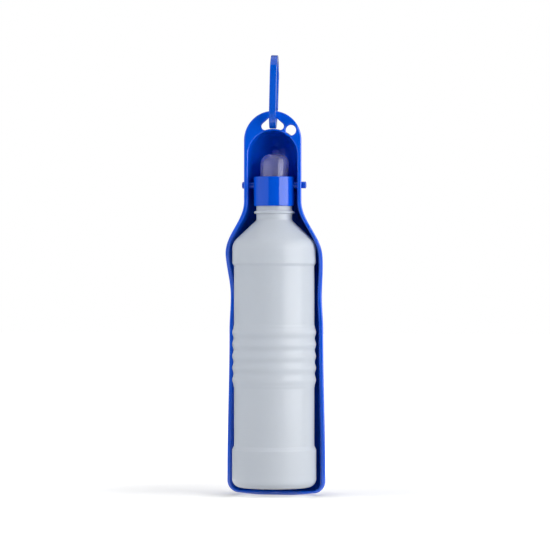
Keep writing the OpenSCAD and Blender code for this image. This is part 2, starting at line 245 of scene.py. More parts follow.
def finished(
    name: str,
    mesh: Mesh,
    finish: Material,
    body: Body,
    slot: Slot,
    nodes: tuple[str, ...],
    sharp: float = 38.0,
) -> Thing:
    """Turns a mesh into a finished piece that rides on its body.

    Args:
        name: the piece's name.
        mesh: its mesh, in metres in the row frame.
        finish: its material.
        body: the body that it rides on.
        slot: the record's material slot; not used.
        nodes: the CAD nodes that it stands for.
        sharp: the angle past which an edge stays crisp, in degrees.

    Returns:
        The piece.
    """
    mesh.name = name
    mesh.materials.clear()
    mesh.materials.append(finish)
    for face in mesh.polygons:
        face.material_index = 0
    mesh.shade_smooth()
    mesh.set_sharp_from_angle(angle=math.radians(sharp))
    piece = linked(name, mesh)
    weigh = piece.modifiers.new("even_shading", "WEIGHTED_NORMAL")
    weigh.keep_sharp = True
    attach(piece, body.value)
    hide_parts(*nodes)
    LOG.info("%s: %d faces on %s", name, len(mesh.polygons), body.value)
    return piece


def plate_mesh(loops: list[Loop], thickness: float, edge: float, steps: int = 3) -> Mesh:
    """A flat plate with rounded edges, from an outline and its holes.

    Args:
        loops: the outline first, then the holes, in millimetres.
        thickness: the plate's thickness.
        edge: radius of its rounded edges.
        steps: stretches of the rounding.

    Returns:
        The mesh in millimetres, flat in X and Y, with its middle at height 0.
    """
    curve = bpy.data.curves.new("plate", "CURVE")
    curve.dimensions = "2D"
    curve.fill_mode = "BOTH"
    curve.extrude = thickness / 2 - edge
    curve.bevel_depth = edge
    curve.bevel_resolution = steps
    curve.offset = -edge
    for loop in loops:
        spline = curve.splines.new("POLY")
        spline.points.add(len(loop) - 1)
        for point, (x, y) in zip(spline.points, loop):
            point.co = (x, y, 0, 1)
        spline.use_cyclic_u = True
    mesh = plain_mesh(linked("plate", curve))
    work = bmesh.new()
    work.from_mesh(mesh)
    bmesh.ops.remove_doubles(work, verts=work.verts, dist=WELD)
    flat = {f for f in work.faces if abs(f.normal.z) > LEVEL}
    edges = list({e for f in flat for e in f.edges if all(g in flat for g in e.link_faces)})
    if edges:
        bmesh.ops.beautify_fill(work, faces=list(flat), edges=edges)
    work.to_mesh(mesh)
    work.free()
    return mesh


# ---------------------------------------------------------------- node boards


class Board:
    """A node tree under construction, with short ways to add and join its nodes."""

    def __init__(self, tree: Tree) -> None:
        """Starts on a tree, which is emptied."""
        self.tree = tree
        tree.nodes.clear()

    def node(self, kind: str, **settings: object) -> Node:
        """Adds a node.

        Args:
            kind: the node's type.
            settings: the properties to set on it.

        Returns:
            The node.
        """
        made = self.tree.nodes.new(kind)
        for key, value in settings.items():
            setattr(made, key, value)
        return made

    def join(self, source: object, target: Socket) -> None:
        """Links a socket to a socket, or sets the target to a plain value.

        Args:
            source: the socket or the value.
            target: the input socket.
        """
        if isinstance(source, Socket):
            self.tree.links.new(source, target)
        else:
            target.default_value = source

    def math(self, operation: str, *values: object) -> Socket:
        """Adds a Math node.

        Args:
            operation: what the node does.
            values: its one to three values or sockets.

        Returns:
            The result's socket.
        """
        made = self.node("ShaderNodeMath", operation=operation)
        for socket, value in zip(made.inputs, values):
            self.join(value, socket)
        return made.outputs[0]

    def product(self, first: object, *others: object) -> Socket:
        """The product of two or more values or sockets."""
        for other in others:
            first = self.math("MULTIPLY", first, other)
        return first

    def ramp(self, value: object, low: object, high: object, start: float = 0.0, end: float = 1.0) -> Socket:
        """Smoothly maps a value from one range to another.

        Args:
            value: the value or socket.
            low: where the range that it comes from starts.
            high: where that range ends.
            start: the result at the low end.
            end: the result at the high end.

        Returns:
            The result's socket.
        """
        made = self.node("ShaderNodeMapRange", interpolation_type="SMOOTHSTEP")
        labels = ("Value", "From Min", "From Max", "To Min", "To Max")
        for label, item in zip(labels, (value, low, high, start, end)):
            self.join(item, made.inputs[label])
        return made.outputs["Result"]

    def spot(self, kind: str = "Object") -> Socket:
        """Texture coordinates of a kind."""
        return self.node("ShaderNodeTexCoord").outputs[kind]

    def axes(self, spot: Socket) -> bpy.types.NodeOutputs:
        """Takes a place apart.

        Args:
            spot: the place.

        Returns:
            Its X, Y and Z.
        """
        apart = self.node("ShaderNodeSeparateXYZ")
        self.join(spot, apart.inputs[0])
        return apart.outputs

    def noise(self, spot: Socket, scale: Socket, detail: float = 2.0) -> Socket:
        """Adds a noise texture.

        Args:
            spot: the texture coordinates.
            scale: the noise's scale.
            detail: how many finer layers lie on it.

        Returns:
            The noise's value.
        """
        made = self.node("ShaderNodeTexNoise")
        for label, item in (("Vector", spot), ("Scale", scale), ("Detail", detail)):
            self.join(item, made.inputs[label])
        return made.outputs["Fac"]


def new_group(name: str, kind: str, inputs: list[tuple], outputs: list[tuple]) -> tuple[Board, Node, Node]:
    """Starts a node group with named sockets.

    Args:
        name: the group's name.
        kind: ShaderNodeTree or GeometryNodeTree.
        inputs: name, socket type and default of each input; the default may be None.
        outputs: name and socket type of each output.

    Returns:
        The board, the group's input node and its output node.
    """
    tree = bpy.data.node_groups.new(name, kind)
    for label, socket, default in inputs:
        made = tree.interface.new_socket(name=label, in_out="INPUT", socket_type=socket)
        if default is not None:
            made.default_value = default
    for label, socket in outputs:
        tree.interface.new_socket(name=label, in_out="OUTPUT", socket_type=socket)
    board = Board(tree)
    return board, board.node("NodeGroupInput"), board.node("NodeGroupOutput")


def effect_group(name: str, inputs: dict[str, float], outputs: tuple[str, ...]) -> tuple[Board, Node, Node]:
    """Starts a shader group whose sockets are all numbers.

    Args:
        name: the group's name.
        inputs: name and default of each input.
        outputs: name of each output.

    Returns:
        The board, the group's input node and its output node.
    """
    number = "NodeSocketFloat"
    sockets = [(label, number, default) for label, default in inputs.items()]
    return new_group(name, "ShaderNodeTree", sockets, [(label, number) for label in outputs])


@dataclass(frozen=True)
class Ribs:
    """Grip ribs that run round a turned wall, in millimetres."""

    count: int = 0
    pitch: float = 8.67
    middle: float = 0.0
    crest: float = 1.3
    valley: float = 0.35
    run: float = 1.5


@dataclass(frozen=True)
class Thread:
    """One thread ridge wound round an axis, in millimetres."""

    radius: float
    low: float
    bead: float
    lead: float = 2.7
    turns: float = 1.5


class TurnedWall:
    """Geometry Nodes that turn a profile about an upright axis and press ribs into it."""

    def __init__(self) -> None:
        """Builds the tree once."""
        number, whole = "NodeSocketFloat", "NodeSocketInt"
        inputs = [
            ("Profile", "NodeSocketGeometry", None),
            ("Segments", whole, 96),
            ("Centre", "NodeSocketVector", None),
            ("Rib Count", number, 0.0),
            ("Rib Pitch", number, 1.0),
            ("Rib Middle", number, 0.0),
            ("Rib Crest", number, 0.0),
            ("Rib Valley", number, 0.0),
            ("Rib Run", number, 1.0),
            ("Finish", "NodeSocketMaterial", None),
        ]
        outputs = [("Wall", "NodeSocketGeometry")]
        board, start, end = new_group("turned_wall", "GeometryNodeTree", inputs, outputs)
        self.tree = board.tree
        given = start.outputs
        size = board.node("GeometryNodeAttributeDomainSize", component="MESH")
        board.join(given["Profile"], size.inputs["Geometry"])
        count = size.outputs["Point Count"]
        grid = board.node("GeometryNodeMeshGrid")
        board.join(1.0, grid.inputs["Size X"])
        board.join(1.0, grid.inputs["Size Y"])
        board.join(board.math("ADD", given["Segments"], 1.0), grid.inputs["Vertices X"])
        board.join(count, grid.inputs["Vertices Y"])
        place = board.axes(board.node("GeometryNodeInputPosition").outputs[0])
        row = board.product(board.math("ADD", place["Y"], 0.5), board.math("SUBTRACT", count, 1.0))
        point = self._profile_point(board, given["Profile"], row)
        ribbed = board.math("ADD", point["X"], self._ribs(board, given, point["Z"]))
        turn = board.product(board.math("ADD", place["X"], 0.5), math.tau)
        out = board.node("ShaderNodeCombineXYZ")
        board.join(board.product(ribbed, board.math("COSINE", turn)), out.inputs["X"])
        board.join(board.product(ribbed, board.math("SINE", turn)), out.inputs["Y"])
        board.join(point["Z"], out.inputs["Z"])
        shift = board.node("ShaderNodeVectorMath", operation="ADD")
        board.join(out.outputs[0], shift.inputs[0])
        board.join(given["Centre"], shift.inputs[1])
        put = board.node("GeometryNodeSetPosition")
        board.join(grid.outputs["Mesh"], put.inputs["Geometry"])
        board.join(shift.outputs[0], put.inputs["Position"])
        merge = board.node("GeometryNodeMergeByDistance")
        board.join(put.outputs[0], merge.inputs["Geometry"])
        board.join(MERGE / 2, merge.inputs["Distance"])
        close_tree(board, merge.outputs[0], given["Finish"], end)

    def _profile_point(self, board: Board, profile: Socket, row: Socket) -> bpy.types.NodeOutputs:
        """Looks up a point of the profile.

        Args:
            board: the tree's board.
            profile: the profile's geometry.
            row: the point's number, which may be off by a rounding error.

        Returns:
            The point's X, Y and Z.
        """
        pick = board.node("GeometryNodeSampleIndex", data_type="FLOAT_VECTOR", domain="POINT")
        board.join(profile, pick.inputs["Geometry"])
        board.join(board.node("GeometryNodeInputPosition").outputs[0], pick.inputs["Value"])
        board.join(board.math("ROUND", row), pick.inputs["Index"])
        return board.axes(pick.outputs[0])

    def _ribs(self, board: Board, given: bpy.types.NodeOutputs, height: Socket) -> Socket:
        """Works out how far the ribs stand out at a height.

        Args:
            board: the tree's board.
            given: the tree's named inputs.
            height: the height.

        Returns:
            What is added to the radius.
        """
        pitch, run, middle = given["Rib Pitch"], given["Rib Run"], given["Rib Middle"]
        crest, valley = given["Rib Crest"], given["Rib Valley"]
        half = board.product(given["Rib Count"], pitch, 0.5)
        low, high = board.math("SUBTRACT", middle, half), board.math("ADD", middle, half)
        phase = board.product(board.math("DIVIDE", board.math("SUBTRACT", height, low), pitch), math.tau)
        share = board.product(board.math("SUBTRACT", 1.0, board.math("COSINE", phase)), 0.5)
        wave = board.math("MULTIPLY_ADD", share, board.math("SUBTRACT", crest, valley), valley)
        fade_in = board.ramp(height, board.math("SUBTRACT", low, run), low)
        fade_out = board.ramp(height, high, board.math("ADD", high, run), 1.0, 0.0)
        return board.product(wave, board.product(fade_in, fade_out))

    def turn(
        self,
        profile: Loop,
        centre: Vector,
        finish: Material,
        segments: int = 128,
        ribs: Ribs = Ribs(),
    ) -> Mesh:
        """Turns a profile into a wall.

        Args:
            profile: radius and height of each point, in millimetres.
            centre: where the axis stands, in metres.
            finish: the wall's material.
            segments: number of faces round the axis.
            ribs: the grip ribs, if any.

        Returns:
            The wall's mesh, in metres in the row frame.
        """
        line = bpy.data.meshes.new("profile")
        line.from_pydata([(r * MM, 0, z * MM) for r, z in profile], [], [])
        carrier = linked("profile", line)
        values = {
            "Segments": segments,
            "Centre": centre,
            "Rib Count": float(ribs.count),
            "Rib Pitch": ribs.pitch * MM,
            "Rib Middle": ribs.middle * MM,
            "Rib Crest": ribs.crest * MM if ribs.count else 0.0,
            "Rib Valley": ribs.valley * MM if ribs.count else 0.0,
            "Rib Run": ribs.run * MM,
            "Finish": finish,
        }
        return cleaned(grown(carrier, self.tree, values))


class WoundRidge:
    """Geometry Nodes that wind a screw thread's ridge round an upright axis."""

    def __init__(self) -> None:
        """Builds the tree once."""
        number = "NodeSocketFloat"
        inputs = [
            ("Geometry", "NodeSocketGeometry", None),
            ("Turns", number, 1.5),
            ("Radius", number, 0.01),
            ("Rise", number, 0.004),
            ("Thickness", number, 0.0005),
            ("Foot", "NodeSocketVector", None),
            ("Finish", "NodeSocketMaterial", None),
        ]
        outputs = [("Ridge", "NodeSocketGeometry")]
        board, start, end = new_group("wound_ridge", "GeometryNodeTree", inputs, outputs)
        self.tree = board.tree
        given = start.outputs
        spiral = board.node("GeometryNodeCurveSpiral")
        board.join(72, spiral.inputs["Resolution"])
        board.join(given["Turns"], spiral.inputs["Rotations"])
        board.join(given["Radius"], spiral.inputs["Start Radius"])
        board.join(given["Radius"], spiral.inputs["End Radius"])
        board.join(given["Rise"], spiral.inputs["Height"])
        bead = board.node("GeometryNodeCurvePrimitiveCircle")
        board.join(10, bead.inputs["Resolution"])
        board.join(given["Thickness"], bead.inputs["Radius"])
        sweep = board.node("GeometryNodeCurveToMesh")
        board.join(spiral.outputs[0], sweep.inputs["Curve"])
        board.join(bead.outputs[0], sweep.inputs["Profile Curve"])
        board.join(True, sweep.inputs["Fill Caps"])
        lift = board.node("GeometryNodeTransform")
        board.join(sweep.outputs[0], lift.inputs["Geometry"])
        board.join(given["Foot"], lift.inputs["Translation"])
        close_tree(board, lift.outputs[0], given["Finish"], end)

    def wind(self, thread: Thread, centre: Vector, finish: Material) -> Mesh:
        """Winds one ridge.

        Args:
            thread: the ridge's sizes.
            centre: where the axis stands, in metres.
            finish: its material.

        Returns:
            The ridge's mesh, in metres in the row frame.
        """
        carrier = linked("ridge", bpy.data.meshes.new("ridge"))
        values = {
            "Turns": thread.turns,
            "Radius": thread.radius * MM,
            "Rise": thread.lead * thread.turns * MM,
            "Thickness": thread.bead * MM,
            "Foot": centre + Vector((0, 0, thread.low * MM)),
            "Finish": finish,
        }
        return cleaned(grown(carrier, self.tree, values))


def close_tree(board: Board, shape: Socket, finish: Socket, end: Node) -> None:
    """Ends a geometry tree in Realize Instances and Set Material.

    Args:
        board: the tree's board.
        shape: the geometry.
        finish: the material's socket.
        end: the tree's output node.
    """
    real = board.node("GeometryNodeRealizeInstances")
    board.join(shape, real.inputs[0])
    dress = board.node("GeometryNodeSetMaterial")
    board.join(real.outputs[0], dress.inputs["Geometry"])
    board.join(finish, dress.inputs["Material"])
    board.join(dress.outputs[0], end.inputs[0])


def grown(carrier: Thing, tree: Tree, values: dict[str, object]) -> Mesh:
    """Runs a geometry tree on an object.

    Args:
        carrier: the object that carries the tree; it is removed afterwards.
        tree: the geometry tree.
        values: the named inputs.

    Returns:
        The plain mesh that the tree makes.
    """
    modifier = carrier.modifiers.new("grow", "NODES")
    modifier.node_group = tree
    for item in tree.interface.items_tree:
        if item.item_type == "SOCKET" and item.in_out == "INPUT" and item.name in values:
            modifier[item.identifier] = values[item.name]
    return plain_mesh(carrier)


# ---------------------------------------------------------------- finishes


class Effects:
    """Shared shader groups for what a moulded surface shows close up."""

    tone_range: Pair = (0.3, 0.7)
    patch_range: Pair = (0.35, 0.65)
    cloud_range: Pair = (0.25, 0.75)

    def __init__(self) -> None:
        """Builds each group once."""
        self.grain = self._grain()
        self.wear = self._wear()
        self.cloud = self._cloud()
        self.seam = self._seam()

    def _grain(self) -> Tree:
        """Makes fine moulded grain and slow waviness.

        Returns:
            The group, which puts out a height and a tone.
        """
        inputs = {"Fine Scale": 900.0, "Wave Scale": 35.0, "Fine Share": 0.15, "Wave Share": 0.5}
        board, start, end = effect_group("moulded_grain", inputs, ("Height", "Tone"))
        given, spot = start.outputs, board.spot()
        fine = board.noise(spot, given["Fine Scale"], 3.0)
        wave = board.noise(spot, given["Wave Scale"])
        slow = board.product(wave, given["Wave Share"])
        board.join(board.math("MULTIPLY_ADD", fine, given["Fine Share"], slow), end.inputs["Height"])
        board.join(board.ramp(wave, *self.tone_range), end.inputs["Tone"])
        return board.tree

    def _wear(self) -> Tree:
        """Makes rubbed outer edges.

        Returns:
            The group, which puts out a mask.
        """
        inputs = {"Low": 0.52, "High": 0.62, "Patch Scale": 220.0}
        board, start, end = effect_group("rubbed_edges", inputs, ("Mask",))
        bend = board.node("ShaderNodeNewGeometry").outputs["Pointiness"]
        edge = board.ramp(bend, start.outputs["Low"], start.outputs["High"])
        patch = board.noise(board.spot(), start.outputs["Patch Scale"])
        board.join(board.product(edge, board.ramp(patch, *self.patch_range)), end.inputs["Mask"])
        return board.tree

    def _cloud(self) -> Tree:
        """Makes the uneven thickness of a blown wall, drawn out along its height.

        Returns:
            The group, which puts out a tone.
        """
        board, start, end = effect_group("blown_wall", {"Scale": 14.0, "Stretch": 0.35}, ("Tone",))
        place = board.axes(board.spot())
        drawn = board.node("ShaderNodeCombineXYZ")
        board.join(place["X"], drawn.inputs["X"])
        board.join(place["Y"], drawn.inputs["Y"])
        board.join(board.product(place["Z"], start.outputs["Stretch"]), drawn.inputs["Z"])
        noise = board.noise(drawn.outputs[0], start.outputs["Scale"], 3.0)
        board.join(board.ramp(noise, *self.cloud_range), end.inputs["Tone"])
        return board.tree

    def _seam(self) -> Tree:
        """Makes the mould's parting line, where a plane along X cuts the wall.

        Returns:
            The group, which puts out a height.
        """
        inputs = {"Plane Y": 0.0, "Half Width": 0.0003}
        board, start, end = effect_group("parting_line", inputs, ("Height",))
        place = board.axes(board.spot())
        away = board.math("ABSOLUTE", board.math("SUBTRACT", place["Y"], start.outputs["Plane Y"]))
        board.join(board.ramp(away, 0.0, start.outputs["Half Width"], 1.0, 0.0), end.inputs["Height"])
        return board.tree


@dataclass(frozen=True)
class Finish:
    """A moulded or drawn finish; colours are linear."""

    name: str
    deep: Triple
    light: Triple
    roughness: float
    rough_spread: float = 0.05
    rough_range: Pair = (0.1, 0.6)
    metallic: float = 0.0
    ior: float = 1.49
    specular: float = 0.5
    subsurface: float = 0.0
    translucent: float = 0.0
    scatter: Triple = (1.0, 1.0, 1.0)
    scatter_reach: float = 0.002
    transmission: float = 0.0
    grain_scale: float = 900.0
    wave_scale: float = 35.0
    bump: float = 0.1
    bump_depth: float = 0.0001
    wear: float = 0.0
    worn: Triple = (0.5, 0.6, 0.9)
    cloudy: bool = False
    seam_y: Optional[float] = None
    seam_share: float = 1.5

    def build(self, effects: Effects) -> Material:
        """Makes the material.

        Args:
            effects: the shared groups.

        Returns:
            The material.
        """
        material = bpy.data.materials.new(self.name)
        material.use_nodes = True
        board = Board(material.node_tree)
        shader = board.node("ShaderNodeBsdfPrincipled")
        constants = {
            "Metallic": self.metallic,
            "IOR": self.ior,
            "Specular IOR Level": self.specular,
            "Subsurface Weight": self.subsurface,
            "Subsurface Radius": self.scatter,
            "Subsurface Scale": self.scatter_reach,
            "Transmission Weight": self.transmission,
        }
        for key, value in constants.items():
            shader.inputs[key].default_value = value
        scales = {"Fine Scale": self.grain_scale, "Wave Scale": self.wave_scale}
        grain = self._effect(board, effects.grain, scales)
        colour = self._colour(board, effects, grain["Tone"])
        board.join(colour, shader.inputs["Base Color"])
        low, high = self.roughness - self.rough_spread, self.roughness + self.rough_spread
        rough = board.ramp(grain["Height"], *self.rough_range, low, high)
        board.join(rough, shader.inputs["Roughness"])
        height = grain["Height"]
        if self.seam_y is not None:
            line = self._effect(board, effects.seam, {"Plane Y": self.seam_y})
            height = board.math("MULTIPLY_ADD", line["Height"], self.seam_share, height)
        bump = board.node("ShaderNodeBump")
        bump.inputs["Strength"].default_value = self.bump
        bump.inputs["Distance"].default_value = self.bump_depth
        board.join(height, bump.inputs["Height"])
        board.join(bump.outputs[0], shader.inputs["Normal"])
        surface = shader.outputs[0]
        if self.translucent:
            surface = self._milky(board, surface, colour, bump.outputs[0])
        board.join(surface, board.node("ShaderNodeOutputMaterial").inputs["Surface"])
        return material

    def _effect(self, board: Board, tree: Tree, values: dict[str, float]) -> bpy.types.NodeOutputs:
        """Places one of the shared groups.

        Args:
            board: the material's board.
            tree: the group.
            values: the inputs that are set.

        Returns:
            The group's outputs.
        """
        placed = board.node("ShaderNodeGroup", node_tree=tree)
        for label, value in values.items():
            placed.inputs[label].default_value = value
        return placed.outputs

    def _colour(self, board: Board, effects: Effects, tone: Socket) -> Socket:
        """Mixes the finish's colours.

        Args:
            board: the material's board.
            effects: the shared groups.
            tone: the grain's tone.

        Returns:
            The colour's socket.
        """
        if self.cloudy:
            tone = self._effect(board, effects.cloud, {})["Tone"]
        colour = self._mix(board, tone, self.deep, self.light)
        if not self.wear:
            return colour
        rubbed = self._effect(board, effects.wear, {})["Mask"]
        return self._mix(board, board.product(rubbed, self.wear), colour, self.worn)

    def _mix(self, board: Board, share: object, first: object, second: object) -> Socket:
        """Mixes two colours.

        Args:
            board: the material's board.
            share: the second colour's share.
            first: a plain colour or a socket.
            second: a plain colour or a socket.

        Returns:
            The mixed colour's socket.
        """
        mixer = board.node("ShaderNodeMix", data_type="RGBA")
        board.join(share, mixer.inputs[0])
        for socket, value in ((mixer.inputs[6], first), (mixer.inputs[7], second)):
            board.join((*value, 1.0) if isinstance(value, tuple) else value, socket)
        return mixer.outputs[2]

    def _milky(self, board: Board, surface: Socket, colour: Socket, normal: Socket) -> Socket:
        """Lets light through the wall.

        Args:
            board: the material's board.
            surface: the plain surface.
            colour: its colour.
            normal: its normal.

        Returns:
            The mixed surface's socket.
        """
        through = board.node("ShaderNodeBsdfTranslucent")
        board.join(colour, through.inputs["Color"])
        board.join(normal, through.inputs["Normal"])
        both = board.node("ShaderNodeMixShader")
        for socket, item in zip(both.inputs, (self.translucent, surface, through.outputs[0])):
            board.join(item, socket)
        return both.outputs[0]


FINISHES = {
    Slot.TRAY: Finish(
        "glossy_tray_blue",
        (0.0004, 0.088, 0.67),
        (0.0006, 0.097, 0.72),
        0.13,
        rough_spread=0.03,
        specular=0.7,
        wear=0.2,
        worn=(0.004, 0.13, 0.8),
        bump=0.05,
    ),
    Slot.CAP: Finish(
        "glossy_cap_blue",
        (0.0004, 0.07, 0.56),
        (0.0006, 0.077, 0.6),
        0.1,
        rough_spread=0.02,
        wear=0.15,
        worn=(0.004, 0.12, 0.75),
        bump=0.04,
    ),
    Slot.HOOK: Finish(
        "glossy_hook_blue",
        (0.0005, 0.075, 0.52),
        (0.0008, 0.085, 0.57),
        0.12,
        rough_spread=0.03,
        wear=0.15,
        worn=(0.004, 0.13, 0.75),
        bump=0.06,
    ),
    Slot.BOTTLE: Finish(
        "milky_blown_bottle",
        (0.725, 0.765, 0.818),
        (0.765, 0.8, 0.845),
        0.2,
        rough_spread=0.04,
        translucent=0.45,
        grain_scale=1400.0,
        wave_scale=60.0,
        bump=0.12,
        cloudy=True,
        seam_y=AXIS_Y * MM,
    ),
    Slot.NOZZLE: Finish(
        "clear_silicone_nozzle",
        (0.66, 0.67, 0.93),
        (0.72, 0.73, 0.95),
        0.12,
        ior=1.36,
        transmission=0.93,
        grain_scale=1100.0,
        wave_scale=120.0,
        bump=0.02,
    ),
    Slot.SEAL: Finish(
        "white_silicone_seal",
        (0.72, 0.72, 0.7),
        (0.8, 0.8, 0.78),
        0.45,
        subsurface=0.1,
    ),
    Slot.STEEL: Finish(
        "drawn_steel",
        (0.5, 0.5, 0.52),
        (0.62, 0.62, 0.64),
        0.32,
        metallic=1.0,
        grain_scale=2500.0,
    ),
}


# ---------------------------------------------------------------- pieces


@dataclass
class BottleParts:
    """The blown bottle with its neck, in millimetres in the row frame's heights."""

    axis: Vector
    body_r: float = 29.5
    band_r: float = 30.9
    shoulder_r: float = 30.7
    wall: float = 0.9
    base_z: float = 6.2
    push_up: float = 1.2
    base_corner: float = 6.2
    base_band_z: float = 33.8
    body_z: float = 36.7
    body_top_z: float = 168.7
    band_z: float = 170.5
    band_top_z: float = 181.2
    neck_z: float = 202.321
    neck_r: float = 13.1
    ring_z: float = 206.621
    ring_t: float = 2.7
    ring_r: float = 14.9
    root_r: float = 12.2
    bore_r: float = 10.7
    mouth_z: float = 229.521
    collar_z: float = 216.3
    shoulder_round: float = 10.4
    shoulder_slope: float = 43.0
    thread_lead: float = 2.7
    thread_turns: float = 1.5
    thread_top_z: float = 226.921
    thread_out: float = 0.2
    thread_bead: float = 0.6
    low_blend: float = 1.6
    high_blend: float = 1.2
    neck_blend: float = 2.4
    neck_rise: float = 4.0
    neck_low: float = 4.05
    bore_low: float = 5.0
    ring_edge: float = 0.75
    ring_round: float = 0.9
    ring_root: float = 0.4
    collar_round: float = 0.3
    collar_step: float = 1.0
    mouth_round: float = 0.5
    bore_round: float = 0.4
    spacing: float = 0.8
    heel_steps: int = 6
    corner_steps: int = 12
    mouth_steps: int = 4
    segments: int = 160
    rib_count: int = 5
    rib_middle: float = 102.5

    def profile(self) -> Loop:
        """Outside of the bottle from the base's middle to the mouth, and back down its inside."""
        return self._side(0.0) + self._mouth() + list(reversed(self._side(self.wall)))

    def _side(self, inset: float) -> Loop:
        """Draws half the outline, from the base's middle up to the neck's foot.

        Args:
            inset: how far it is drawn in; 0 for the outside.

        Returns:
            The points.
        """
        low = self.base_z + inset
        heel = self.band_r - self.base_corner
        count = self.heel_steps
        line = [(heel * i / count, low + self.push_up * (1 - (i / count) ** 2)) for i in range(count)]
        centre = (heel, self.base_z + self.base_corner)
        line += arc(centre, self.base_corner - inset, -90, 0, self.corner_steps)
        steps = [
            (self.band_r - inset, self.base_z + self.base_corner + 1, 0),
            (self.band_r - inset, self.base_band_z, self.low_blend),
            (self.body_r - inset, self.body_z, self.low_blend),
            (self.body_r - inset, self.body_top_z, self.high_blend),
            (self.shoulder_r - inset, self.band_z, self.high_blend),
            (self.shoulder_r - inset, self.band_top_z, 0),
        ]
        line += spaced(rounded(steps), self.spacing)[1:-1]
        turn = 90 - self.shoulder_slope
        centre = (self.shoulder_r - self.shoulder_round, self.band_top_z)
        line += arc(centre, self.shoulder_round - inset, 0, turn, self.corner_steps)
        foot = self.neck_r if inset == 0 else self.bore_r
        foot_z = self.neck_z - (0 if inset == 0 else self.wall / 2)
        blend = [(*line[-1], 0), (foot, foot_z, self.neck_blend), (foot, foot_z + self.neck_rise, 0)]
        return line + spaced(rounded(blend), self.spacing)[1:]

    def _mouth(self) -> Loop:
        """Draws the neck with its carrying ring, thread root and rounded mouth.

        Returns:
            The points, from the outside over the mouth into the bore.
        """
        ring_top = self.ring_z + self.ring_t
        corners = [
            (self.neck_r, self.neck_z + self.neck_low, 0),
            (self.neck_r, self.ring_z, self.ring_root),
            (self.ring_r, self.ring_z + self.ring_edge, self.ring_round),
            (self.ring_r, ring_top - self.ring_edge, self.ring_round),
            (self.neck_r, ring_top, self.ring_root),
            (self.neck_r, self.collar_z, self.collar_round),
            (self.root_r, self.collar_z + self.collar_step, self.collar_round),
            (self.root_r, self.mouth_z, self.mouth_round),
            (self.bore_r, self.mouth_z, self.bore_round),
            (self.bore_r, self.neck_z + self.bore_low, 0),
        ]
        return rounded(corners, self.mouth_steps)

    def build(self, wall: TurnedWall, ridge: WoundRidge, finish: Material) -> Thing:
        """Makes the bottle.

        Args:
            wall: the tree that turns walls.
            ridge: the tree that winds threads.
            finish: the bottle's material.

        Returns:
            The bottle's piece.
        """
        ribs = Ribs(count=self.rib_count, middle=self.rib_middle)
        shell = wall.turn(self.profile(), self.axis, finish, self.segments, ribs)
        low = self.thread_top_z - self.thread_lead * self.thread_turns
        radius = self.root_r + self.thread_out
        thread = Thread(radius, low, self.thread_bead, self.thread_lead, self.thread_turns)
        whole = joined([shell, ridge.wind(thread, self.axis, finish)])
        return finished("bottle_shell", whole, finish, Body.BOTTLE, Slot.BOTTLE, ("bottle",))


